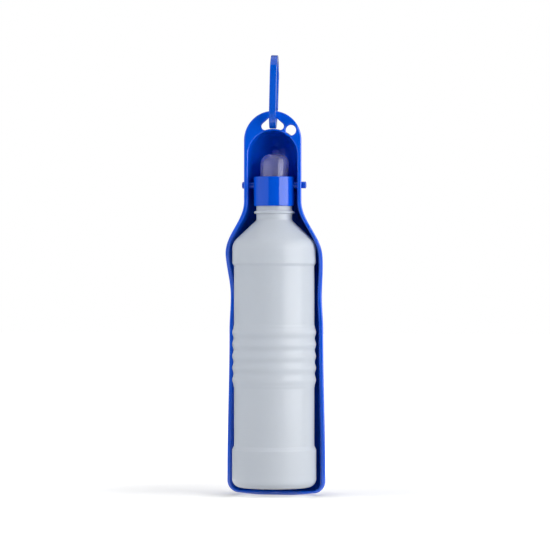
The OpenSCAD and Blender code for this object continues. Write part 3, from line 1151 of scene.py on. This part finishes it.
@dataclass
class CapParts:
    """The screw cap with its two pivot pins, and the soft nozzle, in millimetres."""

    axis: Vector
    pivot_z: float = 228.021
    low_z: float = 212.521
    top_z: float = 234.121
    outer_r: float = 15.0
    bore_r: float = 13.5
    top_t: float = 1.6
    hole_r: float = 10.4
    boss_r: float = 2.55
    boss_end: float = 17.9
    pin_r: float = 2.5
    pin_end: float = 23.8
    nozzle_r: float = 10.3
    swell: float = 0.3
    crown_h: float = 9.5
    nozzle_top_z: float = 250.921
    flange_z: float = 231.021
    flange_t: float = 1.5
    wall: float = 1.4
    bend: float = 0.04
    slit_l: float = 7.0
    slit_w: float = 0.3
    slit_turns: Pair = (45.0, 135.0)
    join_h: float = 8.0
    low_round: float = 0.35
    skirt_round: float = 0.5
    top_round: float = 0.55
    hole_round: float = 0.25
    under_round: float = 0.1
    roof_round: float = 0.2
    corner_steps: int = 5
    spacing: float = 1.5
    thread_low_z: float = 221.5
    thread_in: float = 0.1
    thread_bead: float = 0.55
    boss_sunk: float = 0.4
    boss_round: float = 0.35
    pin_root: float = 0.1
    pin_round: float = 0.45
    pin_spacing: float = 1.2
    pin_segments: int = 48
    flange_gap: float = 0.1
    nozzle_spacing: float = 0.6
    nozzle_segments: int = 96
    nozzle_sharp: float = 50.0
    crown_power: float = 0.66
    crown_steps: int = 24

    def build_cap(self, wall: TurnedWall, ridge: WoundRidge, finish: Material) -> Thing:
        """Makes the cap.

        Args:
            wall: the tree that turns walls.
            ridge: the tree that winds threads.
            finish: the cap's material.

        Returns:
            The cap's piece.
        """
        inner_top = self.top_z - self.top_t
        start = (self.bore_r, self.low_z + self.join_h, 0)
        corners = [
            start,
            (self.bore_r, self.low_z, self.low_round),
            (self.outer_r, self.low_z, self.skirt_round),
            (self.outer_r, self.top_z, self.top_round),
            (self.hole_r, self.top_z, self.hole_round),
            (self.hole_r, inner_top, self.under_round),
            (self.bore_r, inner_top, self.roof_round),
            start,
        ]
        skirt = wall.turn(spaced(rounded(corners, self.corner_steps), self.spacing), self.axis, finish)
        thread = Thread(self.bore_r - self.thread_in, self.thread_low_z, self.thread_bead)
        pins = [self._pin(wall, finish, side) for side in (-1, 1)]
        whole = joined([skirt, ridge.wind(thread, self.axis, finish), *pins])
        return finished("screw_cap", whole, finish, Body.CAP, Slot.CAP, ("cap",))

    def _pin(self, wall: TurnedWall, finish: Material, side: int) -> Mesh:
        """Makes one boss with its pivot pin, lying along X.

        Args:
            wall: the tree that turns walls.
            finish: the cap's material.
            side: -1 for the pin towards -X, 1 for the other.

        Returns:
            The mesh.
        """
        start = math.sqrt(self.outer_r**2 - self.boss_r**2) - self.boss_sunk
        corners = [
            (0, start, 0),
            (self.boss_r, start, 0),
            (self.boss_r, self.boss_end, self.boss_round),
            (self.pin_r, self.boss_end, self.pin_root),
            (self.pin_r, self.pin_end, self.pin_round),
            (0, self.pin_end, 0),
        ]
        profile = spaced(rounded(corners, self.corner_steps), self.pin_spacing)
        mesh = wall.turn(profile, Vector((0, 0, 0)), finish, self.pin_segments)
        centre = self.axis + Vector((0, 0, self.pivot_z * MM))
        moved(mesh, lambda p: centre + Vector((side * p.z, p.y, side * -p.x)))
        return cleaned(mesh)

    def build_nozzle(self, wall: TurnedWall, finish: Material) -> Thing:
        """Makes the soft nozzle.

        Args:
            wall: the tree that turns walls.
            finish: the nozzle's material.

        Returns:
            The nozzle's piece.
        """
        swell_z = self.nozzle_top_z - self.crown_h
        flange_r = self.bore_r - self.flange_gap
        flange_top = self.flange_z + self.flange_t
        inner = self.nozzle_r - self.wall
        outside = [
            (flange_r, self.flange_z),
            (flange_r, flange_top),
            (self.nozzle_r, flange_top),
            (self.nozzle_r, self.top_z),
        ]
        outside += self._crown(self.nozzle_r + self.swell, self.crown_h, swell_z)
        inside = [(inner, self.flange_z), (inner, self.top_z)]
        inside += self._crown(inner + self.swell, self.crown_h - self.wall, swell_z)
        profile = spaced(list(reversed(inside)) + outside, self.nozzle_spacing)
        mesh = wall.turn(profile, self.axis, finish, self.nozzle_segments)
        foot = self.top_z * MM
        moved(mesh, lambda p: p + Vector((max(0.0, p.z - foot) * self.bend, 0, 0)))
        whole, sharp = self._slit(mesh), self.nozzle_sharp
        return finished("soft_nozzle", whole, finish, Body.CAP, Slot.NOZZLE, ("nozzle",), sharp)

    def _crown(self, radius: float, height: float, base_z: float) -> Loop:
        """Draws the dome's rounded end, fuller than an ellipse.

        Args:
            radius: its radius at the foot.
            height: its height.
            base_z: the height of its foot.

        Returns:
            The points, from the foot to the tip.
        """
        count, power = self.crown_steps, self.crown_power
        turns = [math.pi / 2 * i / count for i in range(count + 1)]
        across = [radius * max(0.0, math.cos(a)) ** power for a in turns]
        up = [base_z + height * math.sin(a) ** power for a in turns]
        return list(zip(across, up))

    def _slit(self, mesh: Mesh) -> Mesh:
        """Cuts the cross slit through the dome's end.

        Args:
            mesh: the dome's mesh.

        Returns:
            The cut mesh.
        """
        dome = linked("dome", mesh)
        cutters = []
        for turn in self.slit_turns:
            size = Vector((self.slit_l, self.slit_w, self.crown_h)) * MM
            place = Matrix.Translation(self.axis + Vector((0, 0, self.nozzle_top_z * MM)))
            place @= Matrix.Rotation(math.radians(turn), 4, "Z") @ Matrix.Diagonal((*size, 1.0))
            work = bmesh.new()
            bmesh.ops.create_cube(work, size=1.0, matrix=place)
            blade = bpy.data.meshes.new("blade")
            work.to_mesh(blade)
            work.free()
            cutter = linked("blade", blade)
            cutters.append(cutter)
            cut = dome.modifiers.new("slit", "BOOLEAN")
            cut.operation, cut.solver, cut.object = "DIFFERENCE", "EXACT", cutter
        slitted = plain_mesh(dome)
        for cutter in cutters:
            bpy.data.objects.remove(cutter)
        return slitted


@dataclass
class TrayParts:
    """The folding drinking tray: a leaning trough with a rim, a foot and a tab, in millimetres."""

    axis_y: float = AXIS_Y
    lean: float = 1.18083
    trough_back: float = 0.6
    rim_w: float = 3.0
    outer_inset: float = 1.75
    lip_t: float = 2.2
    lip_edge: float = 1.0
    rim_front: float = 6.5
    rim_back: float = 6.0
    waist_z: float = 146.2
    rim_high_z: float = 196.321
    base_w: float = 36.9
    neck_w: float = 21.5
    corner_r: float = 9.2
    tray_wall: float = 1.6
    foot_t: float = 2.2
    foot_half: float = 11.0
    bow_r: float = 245.0
    bowl_z: float = 249.421
    tab_z: float = 260.821
    slot_arc_r: float = 19.6
    slot_corner: Pair = (5.7, 270.98)
    slot_corner_r: float = 2.7
    slot_peak_z: float = 277.521
    slot_peak_r: float = 1.5
    hole: Pair = (13.7, 268.021)
    hole_r: float = 3.8
    stations: tuple[Pair, ...] = (
        (13.2, 36.9),
        (120.7, 35.3),
        (146.2, 34.3),
        (176.42, 36.3),
        (216.021, 21.5),
    )
    half_steps: int = 40
    side_steps: int = 128
    foot_steps: int = 24
    corner_steps: int = 14
    round_steps: int = 40
    draft: float = 0.0035
    rim_foot: float = 3.1
    rim_root: float = 0.3
    rim_lap: float = 0.02
    outer_floor: float = -1.0
    floor_start: float = 1.0
    tab_spacing: float = 3.0
    near: float = 0.05
    off_middle: float = 0.01

    def half_width(self, z: float) -> float:
        """Finds how far the rim's outer edge lies from the middle.

        Args:
            z: the height.

        Returns:
            Half the width there.
        """
        for (z0, w0), (z1, w1) in zip(self.stations, self.stations[1:]):
            if z <= z1:
                return w0 + (w1 - w0) * ease((z - z0) / (z1 - z0))
        return self.stations[-1][1]

    def rim_y(self, z: float) -> float:
        """Where the rim's face lies at a height, about the bottle's axis."""
        share = ease((z - self.waist_z) / (self.rim_high_z - self.waist_z))
        return self.rim_back - (self.rim_back + self.rim_front) * share

    def bow(self, x: float) -> float:
        """Height of the bowed end at a distance from the middle."""
        return (max(x, self.foot_half) ** 2 - self.foot_half**2) / (2 * self.bow_r)

    def end_height(self, x: float) -> float:
        """Finds how high the front outline's lower edge lies.

        Args:
            x: the distance from the middle, of either sign.

        Returns:
            The height there.
        """
        x = abs(x)
        corner_x = self.base_w - self.corner_r
        if x <= corner_x:
            return self.bow(x)
        drop = math.sqrt(max(0.0, self.corner_r**2 - (x - corner_x) ** 2))
        return self.bow(corner_x) + self.corner_r - drop

    def side(self, inset: float, low: float) -> Loop:
        """Draws the side of the outline up to the top of the taper.

        Args:
            inset: how far it is drawn in.
            low: the height at which it starts.

        Returns:
            The points.
        """
        top = self.stations[-1][0]
        count = self.side_steps
        heights = [low + (top - low) * i / count for i in range(count + 1)]
        return [(self.half_width(z) - inset, z) for z in heights]

    def front_outline(self) -> Loop:
        """Draws the closed front outline of rim, tab and foot.

        Returns:
            The points.
        """
        corner_x = self.base_w - self.corner_r
        start = math.degrees(math.asin(corner_x / self.bow_r)) - 90
        count = self.foot_steps
        line = [(corner_x * i / count, self.bow(corner_x * i / count)) for i in range(count)]
        centre = (corner_x, self.bow(corner_x) + self.corner_r)
        line += arc(centre, self.corner_r, start, 0, self.corner_steps)
        line += self.side(0.0, self.stations[0][0])
        line += spaced(arc((0, self.tab_z), self.neck_w, 0, 90, self.round_steps), self.tab_spacing)
        return self._closed(line)

    def hollow_outline(self) -> Loop:
        """Draws the closed front outline of the trough's hollow.

        Returns:
            The points.
        """
        corner = self.corner_r - self.tray_wall
        wide = self.base_w - self.rim_w
        count = self.foot_steps
        line = [((wide - corner) * i / count, self.rim_foot) for i in range(count)]
        line += arc((wide - corner, self.rim_foot + corner), corner, -90, 0, self.corner_steps)
        line += self.side(self.rim_w, self.stations[0][0])
        line += arc((0, self.bowl_z), self.neck_w - self.rim_w, 0, 90, self.round_steps)
        return self._closed(line)

    def _closed(self, half: Loop) -> Loop:
        """Closes an outline from its right half.

        Args:
            half: the right half, whose two ends lie on the middle line.

        Returns:
            The whole outline, without points that all but coincide.
        """
        kept = [half[0]]
        for point in half[1:]:
            if math.dist(point, kept[-1]) > self.near:
                kept.append(point)
        return kept + [(-x, y) for x, y in reversed(kept) if x > self.off_middle]

    def slot_outline(self) -> Loop:
        """Draws the slot that the hook goes through, with its arched lower edge.

        Returns:
            The points.
        """
        cx, cz = self.slot_corner
        rise = self.slot_peak_z - cz
        shrink = math.asin((self.slot_corner_r - self.slot_peak_r) / math.hypot(cx, rise))
        tilt = math.degrees(math.atan2(rise, cx) - shrink)
        half = arc((0, self.slot_peak_z), self.slot_peak_r, 90, 90 - tilt, 6)
        half += arc(self.slot_corner, self.slot_corner_r, 90 - tilt, -90, 16)
        half = [(x, z) for x, z in half if math.hypot(x, z - self.bowl_z) > self.slot_arc_r]
        end = math.degrees(math.atan2(half[-1][1] - self.bowl_z, half[-1][0]))
        half += arc((0, self.bowl_z), self.slot_arc_r, end, 90, 8)[1:]
        return self._closed(half)

    def rim_mesh(self) -> Mesh:
        """Makes rim, tab and foot edge as one rounded plate, bent along the tray's side view.

        Returns:
            The mesh, in metres in the row frame.
        """
        hole = arc(self.hole, self.hole_r, 0, 360, self.round_steps)[:-1]
        loops = [self.front_outline(), self.hollow_outline(), self.slot_outline(), hole]
        mesh = plate_mesh(loops, self.lip_t, self.lip_edge)

        def place(p: Vector) -> Vector:
            """Sets a flat point on the rim's bent face."""
            y = self.axis_y + self.rim_y(p.y) + self.lip_t / 2 + p.z
            return Vector((p.x, y, p.y)) * MM

        return cleaned(moved(mesh, place))

    def trough_rows(self, inset: float, floor_z: float, corner: float) -> Loop:
        """Lists the rows of the trough's turned wall.

        Args:
            inset: how far the wall is drawn in from the rim's outer edge.
            floor_z: the height of the trough's foot.
            corner: the radius between foot and side.

        Returns:
            Radius and height of each row.
        """
        wide = self.base_w - inset
        start = self.rim_back + self.floor_start
        rows = [(start + (wide - corner - start) * i / 14, floor_z) for i in range(14)]
        rows += arc((wide - corner, floor_z + corner), corner, -90, 0, 12)
        rows += self.side(inset, self.stations[0][0])
        lean = math.radians(self.lean)
        bowl = self.bowl_z * math.cos(lean) - (self.rim_front + self.trough_back) * math.sin(lean)
        rows += arc((0, bowl), self.neck_w - inset, 0, 90, 32)
        return rows

    def row_points(self, radius: float, height: float, clip: bool) -> list[Vector]:
        """Places the points of one row, from the left rim round the back to the right rim.

        Args:
            radius: the row's radius.
            height: its height along the trough's leaning axis.
            clip: whether the row is held above the bowed end.

        Returns:
            The points, in metres in the row frame.
        """
        lean = math.radians(self.lean)
        cos, sin = math.cos(lean), math.sin(lean)
        root = self.rim_y(height * cos) + self.lip_edge + self.rim_root
        front = (root - self.trough_back - height * sin) / cos
        radius = max(radius, TINY)
        quarter = math.acos(min(1.0, front / radius)) if front > 0 else math.pi / 2
        bend, straight = radius * quarter, max(0.0, -front)
        points = []
        for k in range(-self.half_steps, self.half_steps + 1):
            along = abs(k) / self.half_steps * (bend + straight)
            turn = min(along, bend) / radius
            x = math.copysign(radius * math.sin(turn), k)
            y = radius * math.cos(turn) - max(0.0, along - bend)
            x *= 1 - self.draft * max(0.0, y - front)
            spot = Vector((x, self.trough_back + y * cos + height * sin, height * cos - y * sin))
            if clip:
                spot.z = max(spot.z, self.end_height(x))
            spot.y += self.axis_y
            points.append(spot * MM)
        return points

    def trough_mesh(self) -> Mesh:
        """Makes the trough's wall, inside and outside, closed where the rim takes over.

        Returns:
            The mesh, in metres in the row frame.
        """
        hollow = self.trough_rows(self.rim_w + self.rim_lap, self.foot_t, self.corner_r - self.tray_wall)
        outside = self.trough_rows(self.outer_inset, self.outer_floor, self.corner_r)
        inner = [self.row_points(r, z, False) for r, z in hollow]
        outer = [self.row_points(r, z, True) for r, z in outside]
        loops = [a + list(reversed(b)) for a, b in zip(inner, outer)]
        points = [p for loop in loops for p in loop]
        around = 2 * (2 * self.half_steps + 1)
        faces = []
        for i in range(len(loops) - 1):
            for k in range(around):
                a, b = i * around + k, i * around + (k + 1) % around
                faces.append((a, b, b + around, a + around))
        mesh = bpy.data.meshes.new("trough")
        mesh.from_pydata(points, [], faces)
        return cleaned(mesh, TROUGH_MERGE)

    def build(self, finish: Material) -> Thing:
        """Makes the tray."""
        whole = joined([self.trough_mesh(), self.rim_mesh()])
        return finished("drinking_tray", whole, finish, Body.TRAY, Slot.TRAY, ("tray",))


@dataclass
class HookParts:
    """The snap hook: a stretched ring with a sprung gate, in millimetres in its own plane."""

    pivot: Triple = (0.5, -21.85, 281.321)
    yaw: float = 8.5
    lean: float = 1.5
    low_r: float = 12.0
    top_r: float = 14.0
    span: float = 27.8
    strand: float = 4.6
    thick: float = 5.0
    gate_thick: float = 5.6
    slope: float = 4.12556
    gate_u: float = 10.0137
    pin_h: float = 4.0
    gate_l: float = 26.0
    tongue: float = 2.2
    gap: float = 0.3
    edge: float = 0.5
    latch: float = 0.9
    tongue_edge: float = 0.2
    eye_turn: Pair = (176.0, 364.0)
    fork_half: float = 4.0
    fork_top: float = 2.6
    fork_edge: float = 0.05
    spacing: float = 0.8
    far: float = 99.0

    def ring(self, inset: float, side: int, low: float, high: float) -> Loop:
        """Draws the ring's edge on one side between two heights.

        Args:
            inset: how far it is drawn in; 0 for the outer edge.
            side: 1 for the gate's side, -1 for the other.
            low: the height at which it starts.
            high: the height at which it ends.

        Returns:
            The points, from below.
        """
        low_r, top_r = self.low_r - inset, self.top_r - inset
        line = arc((0, 0), low_r, -90, -self.slope, 24) + arc((0, self.span), top_r, -self.slope, 90, 24)
        dense = spaced(line, self.spacing)
        kept: Loop = []
        for (x0, h0), (x1, h1) in zip(dense, dense[1:]):
            for cut in (low, high):
                if h0 < cut < h1:
                    kept.append((x0 + (x1 - x0) * (cut - h0) / (h1 - h0), cut))
            if low <= h1 <= high:
                kept.append((x1, h1))
        if low <= dense[0][1]:
            kept.insert(0, dense[0])
        kept.sort(key=lambda point: point[1])
        return [(side * x, h) for x, h in kept]

    def body_outline(self) -> Loop:
        """Draws the hook's body: the ring without its gate.

        Returns:
            The points.
        """
        far = self.far
        low, high = self.pin_h, self.pin_h + self.gate_l + self.gap
        cup_r = self.strand / 2 + self.gap
        hinge = (self.gate_u, low)
        outer_low = [p for p in self.ring(0, 1, -far, low) if math.dist(p, hinge) > cup_r]
        inner_low = [p for p in self.ring(self.strand, 1, -far, low) if math.dist(p, hinge) > cup_r]
        nose, seat = high - self.latch, high + self.latch
        outer = outer_low[::-1] + self.ring(0, -1, -far, far)[1:]
        outer += self.ring(0, 1, nose, far)[::-1][1:]
        inner = self.ring(self.strand, 1, seat, far)
        inner += self.ring(self.strand, -1, -far, far)[::-1][1:] + inner_low[1:]
        first, last = inner[-1], outer[0]
        a0 = math.degrees(math.atan2(first[1] - low, first[0] - self.gate_u))
        a1 = math.degrees(math.atan2(last[1] - low, last[0] - self.gate_u))
        if a1 < a0:
            a1 += 360
        return outer + inner + arc(hinge, cup_r, a0, a1, 10)[1:-1]

    def gate_outline(self) -> Loop:
        """Draws the gate: its length of the ring with a round eye at its foot.

        Returns:
            The points.
        """
        low, high = self.pin_h + self.gap, self.pin_h + self.gate_l
        outer = self.ring(0, 1, low, high - self.latch)
        inner = self.ring(self.strand, 1, low, high + self.latch)
        eye = arc((self.gate_u, self.pin_h), self.strand / 2, *self.eye_turn, 18)
        return outer + list(reversed(inner)) + eye

    def place(self, p: Vector) -> Vector:
        """Sets a point of the hook's plane in the row frame.

        Args:
            p: the point; X and Y lie in the plane, Z across it.

        Returns:
            The point, in metres.
        """
        yaw = Matrix.Rotation(math.radians(self.yaw), 3, "Z")
        lean = Matrix.Rotation(math.radians(self.lean), 3, "Y")
        return (Vector(self.pivot) + (yaw @ lean) @ Vector((p.z, p.x, p.y))) * MM

    def _plate(self, loop: Loop, thickness: float, edge: float, steps: int) -> Mesh:
        """Makes a rounded plate that lies in the hook's plane.

        Args:
            loop: its outline.
            thickness: its thickness.
            edge: radius of its rounded edges.
            steps: stretches of the rounding.

        Returns:
            The mesh, in metres in the row frame.
        """
        return cleaned(moved(plate_mesh([loop], thickness, edge, steps), self.place))

    def build_body(self, finish: Material) -> Thing:
        """Makes the hook's body with the tongue that carries the gate's pin.

        Args:
            finish: the hook's material.

        Returns:
            The body's piece.
        """
        ring = self._plate(self.body_outline(), self.thick, self.edge, 4)
        half = self.strand / 2 - self.gap
        low = self.pin_h - self.strand
        eye = arc((self.gate_u, self.pin_h), half, 0, 180, 16)
        foot = [(self.gate_u - half, low), (self.gate_u + half, low)]
        tongue = self._plate(eye + foot, self.tongue, self.tongue_edge, 2)
        whole = joined([ring, tongue])
        return finished("hook_ring", whole, finish, Body.HOOK, Slot.HOOK, ("hook_body",))

    def build_gate(self, finish: Material) -> Thing:
        """Makes the gate, forked round the tongue.

        Args:
            finish: the hook's material.

        Returns:
            The gate's piece.
        """
        bar = linked("bar", self._plate(self.gate_outline(), self.gate_thick, self.edge, 4))
        left, right = self.gate_u - self.fork_half, self.gate_u + self.fork_half
        low, top = self.pin_h - self.fork_half, self.pin_h + self.fork_top
        fork = [(left, low), (right, low), (right, top), (left, top)]
        cutter = linked("fork", self._plate(fork, self.tongue + 2 * self.gap, self.fork_edge, 1))
        cut = bar.modifiers.new("fork", "BOOLEAN")
        cut.operation, cut.solver, cut.object = "DIFFERENCE", "EXACT", cutter
        mesh = plain_mesh(bar)
        bpy.data.objects.remove(cutter)
        return finished("hook_gate_bar", mesh, finish, Body.GATE, Slot.HOOK, ("hook_gate",))


# ---------------------------------------------------------------- studio


@dataclass
class Softbox:
    """A broad soft lamp turned to the object; its angle is from the camera's line, to the right."""

    name: str
    angle: float
    distance: float
    wide: float
    tall: float
    radiance: float
    height: float = 0.2
    mirrored: bool = True


@dataclass
class Studio:
    """Camera, lamps, floor and backdrop."""

    azimuth: float = 12.0
    eye_z: float = 0.162
    distance: float = 2.245
    lens: float = 200.0
    aim_right: float = 0.0006
    aim_y: float = AXIS_Y * MM
    sensor: float = 36.0
    clip: Pair = (0.05, 60.0)
    sky_range: Pair = (-0.2, 0.5)
    # painted contact shadow: how far sideways from the middle the floor's glow is dimmed by ambient
    # occlusion
    painted_shadow_range: Pair = (0.022, 0.034)
    floor_half: float = 6.0
    floor_z: float = -0.0001
    fill: float = 0.1
    floor_glow: float = 0.5
    floor_tone: float = 0.65
    # painted contact shadow: reach of the ambient occlusion that dims the floor's glow
    painted_shadow_reach: float = 0.03
    glow_reach: Pair = (0.1, 0.3)
    behind: float = 0.5
    lamps: tuple[Softbox, ...] = (
        Softbox("right_softbox", 56.0, 1.0, 1.05, 1.5, 4.7),
        Softbox("left_softbox", -69.0, 1.1, 1.6, 1.7, 0.65),
        Softbox("left_fill", -80.0, 1.2, 1.2, 1.2, 2.9, mirrored=False),
        Softbox("roof_softbox", 0.0, 0.05, 1.2, 1.2, 1.1, 1.3),
    )

    def back(self) -> Vector:
        """Level direction from the object to the camera."""
        turn = math.radians(self.azimuth)
        return Vector((math.sin(turn), -math.cos(turn), 0))

    def right(self) -> Vector:
        """Level direction to the camera's right."""
        turn = math.radians(self.azimuth)
        return Vector((math.cos(turn), math.sin(turn), 0))

    def target(self) -> Vector:
        """The point at the picture's middle."""
        return Vector((0, self.aim_y, self.eye_z)) + self.right() * self.aim_right

    def build_camera(self) -> None:
        """Sets up the level, far camera."""
        data = bpy.data.cameras.new("camera")
        data.lens, data.sensor_width = self.lens, self.sensor
        data.clip_start, data.clip_end = self.clip
        camera = linked("camera", data)
        camera.location = self.target() + self.back() * self.distance
        camera.rotation_euler = (-self.back()).to_track_quat("-Z", "Y").to_euler()
        bpy.context.scene.camera = camera

    def build_lamps(self) -> None:
        """Sets up the softboxes."""
        for box in self.lamps:
            data = bpy.data.lights.new(box.name, "AREA")
            data.shape, data.size, data.size_y = "RECTANGLE", box.wide, box.tall
            data.energy = box.radiance * math.pi * box.wide * box.tall
            lamp = linked(box.name, data)
            lamp.visible_glossy = box.mirrored
            turn = math.radians(box.angle)
            way = self.back() * math.cos(turn) + self.right() * math.sin(turn)
            middle = Vector((0, self.aim_y, box.height))
            lamp.location = middle + way * box.distance
            aim = Vector((0, self.aim_y, self.eye_z)) - lamp.location
            lamp.rotation_euler = aim.to_track_quat("-Z", "Y").to_euler()

    def build_world(self) -> None:
        """White behind the object and pale fill on it."""
        world = bpy.data.worlds.new("studio")
        bpy.context.scene.world = world
        world.use_nodes = True
        board = Board(world.node_tree)
        rays = board.node("ShaderNodeLightPath").outputs
        behind = board.ramp(board.axes(board.spot("Generated"))["Y"], *self.sky_range)
        through = board.product(rays["Is Transmission Ray"], behind)
        mirrored = board.product(rays["Is Glossy Ray"], behind, self.behind)
        white = board.math("MAXIMUM", rays["Is Camera Ray"], board.math("MAXIMUM", through, mirrored))
        matt = board.product(board.math("SUBTRACT", 1.0, rays["Is Glossy Ray"]), self.fill)
        light = board.node("ShaderNodeBackground")
        light.inputs["Color"].default_value = WHITE
        board.join(board.math("MAXIMUM", white, matt), light.inputs["Strength"])
        board.join(light.outputs[0], board.node("ShaderNodeOutputWorld").inputs["Surface"])

    def _floor_strength(self, board: Board) -> Socket:
        """Works out how strongly the floor glows: less near the object, with a painted contact shadow beside
        it where ambient occlusion dims the glow.

        Args:
            board: the floor material's board.

        Returns:
            The strength's socket.
        """
        rays = board.node("ShaderNodeLightPath").outputs
        seen = board.math("MAXIMUM", rays["Is Camera Ray"], rays["Is Transmission Ray"])
        length = board.node("ShaderNodeVectorMath", operation="LENGTH")
        board.join(board.spot(), length.inputs[0])
        away = length.outputs["Value"]
        strength = board.ramp(away, *self.glow_reach, self.floor_glow, 1.0)
        # Painted contact shadow: ambient occlusion darkens the floor's glow beside the object, on top of the
        # lamps' real shadow in the matt part.
        painted_shadow_ao = board.node("ShaderNodeAmbientOcclusion")
        painted_shadow_ao.inputs["Distance"].default_value = self.painted_shadow_reach
        sideways = board.math("ABSOLUTE", board.axes(board.spot())["X"])
        beside = board.ramp(sideways, *self.painted_shadow_range)
        shade = board.math("SUBTRACT", 1.0, painted_shadow_ao.outputs["AO"])
        painted_shadow = board.math("SUBTRACT", 1.0, board.product(beside, shade))
        mirrored = board.product(rays["Is Glossy Ray"], board.ramp(away, *self.glow_reach, 1.0, 0.0))
        return board.math("ADD", board.product(seen, strength, painted_shadow), mirrored)

    def build_floor(self) -> None:
        """Makes a pale floor that reads white. Its matt part keeps the object's real shadow, and its glow
        carries a painted contact shadow beside the object.
        """
        half, low = self.floor_half, self.floor_z
        corners = [(-half, -half, low), (half, -half, low), (half, half, low), (-half, half, low)]
        mesh = bpy.data.meshes.new("floor")
        mesh.from_pydata(corners, [], [(0, 1, 2, 3)])
        floor = linked("floor", mesh)
        material = bpy.data.materials.new("pale_floor")
        material.use_nodes = True
        board = Board(material.node_tree)
        matt = board.node("ShaderNodeBsdfDiffuse")
        matt.inputs["Color"].default_value = (self.floor_tone, self.floor_tone, self.floor_tone, 1)
        glow = board.node("ShaderNodeEmission")
        glow.inputs["Color"].default_value = WHITE
        board.join(self._floor_strength(board), glow.inputs["Strength"])
        both = board.node("ShaderNodeAddShader")
        board.join(matt.outputs[0], both.inputs[0])
        board.join(glow.outputs[0], both.inputs[1])
        board.join(both.outputs[0], board.node("ShaderNodeOutputMaterial").inputs["Surface"])
        mesh.materials.append(material)

    def build(self) -> None:
        """Sets up the whole studio."""
        self.build_camera()
        self.build_lamps()
        self.build_world()
        self.build_floor()
        bpy.context.scene.view_settings.view_transform = "Standard"


def dress_node(name: str, finish: Material) -> None:
    """Gives a CAD node that stays its material.

    Args:
        name: the node's name.
        finish: the material.
    """
    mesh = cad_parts[name].data
    mesh.materials.clear()
    mesh.materials.append(finish)
    LOG.info("%s: CAD node dressed in %s", name, finish.name)


def main() -> None:
    logging.basicConfig(level=logging.INFO)
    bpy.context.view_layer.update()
    effects = Effects()
    looks = {slot: finish.build(effects) for slot, finish in FINISHES.items()}
    wall, ridge = TurnedWall(), WoundRidge()
    axis = Vector((0, AXIS_Y * MM, 0))
    BottleParts(axis).build(wall, ridge, looks[Slot.BOTTLE])
    cap = CapParts(axis)
    cap.build_cap(wall, ridge, looks[Slot.CAP])
    cap.build_nozzle(wall, looks[Slot.NOZZLE])
    TrayParts().build(looks[Slot.TRAY])
    hook = HookParts()
    hook.build_body(looks[Slot.HOOK])
    hook.build_gate(looks[Slot.HOOK])
    dress_node("neck_seal", looks[Slot.SEAL])
    dress_node("gate_pin", looks[Slot.STEEL])
    dress_node("gate_spring", looks[Slot.STEEL])
    Studio().build()


if __name__ == "__main__":
    main()
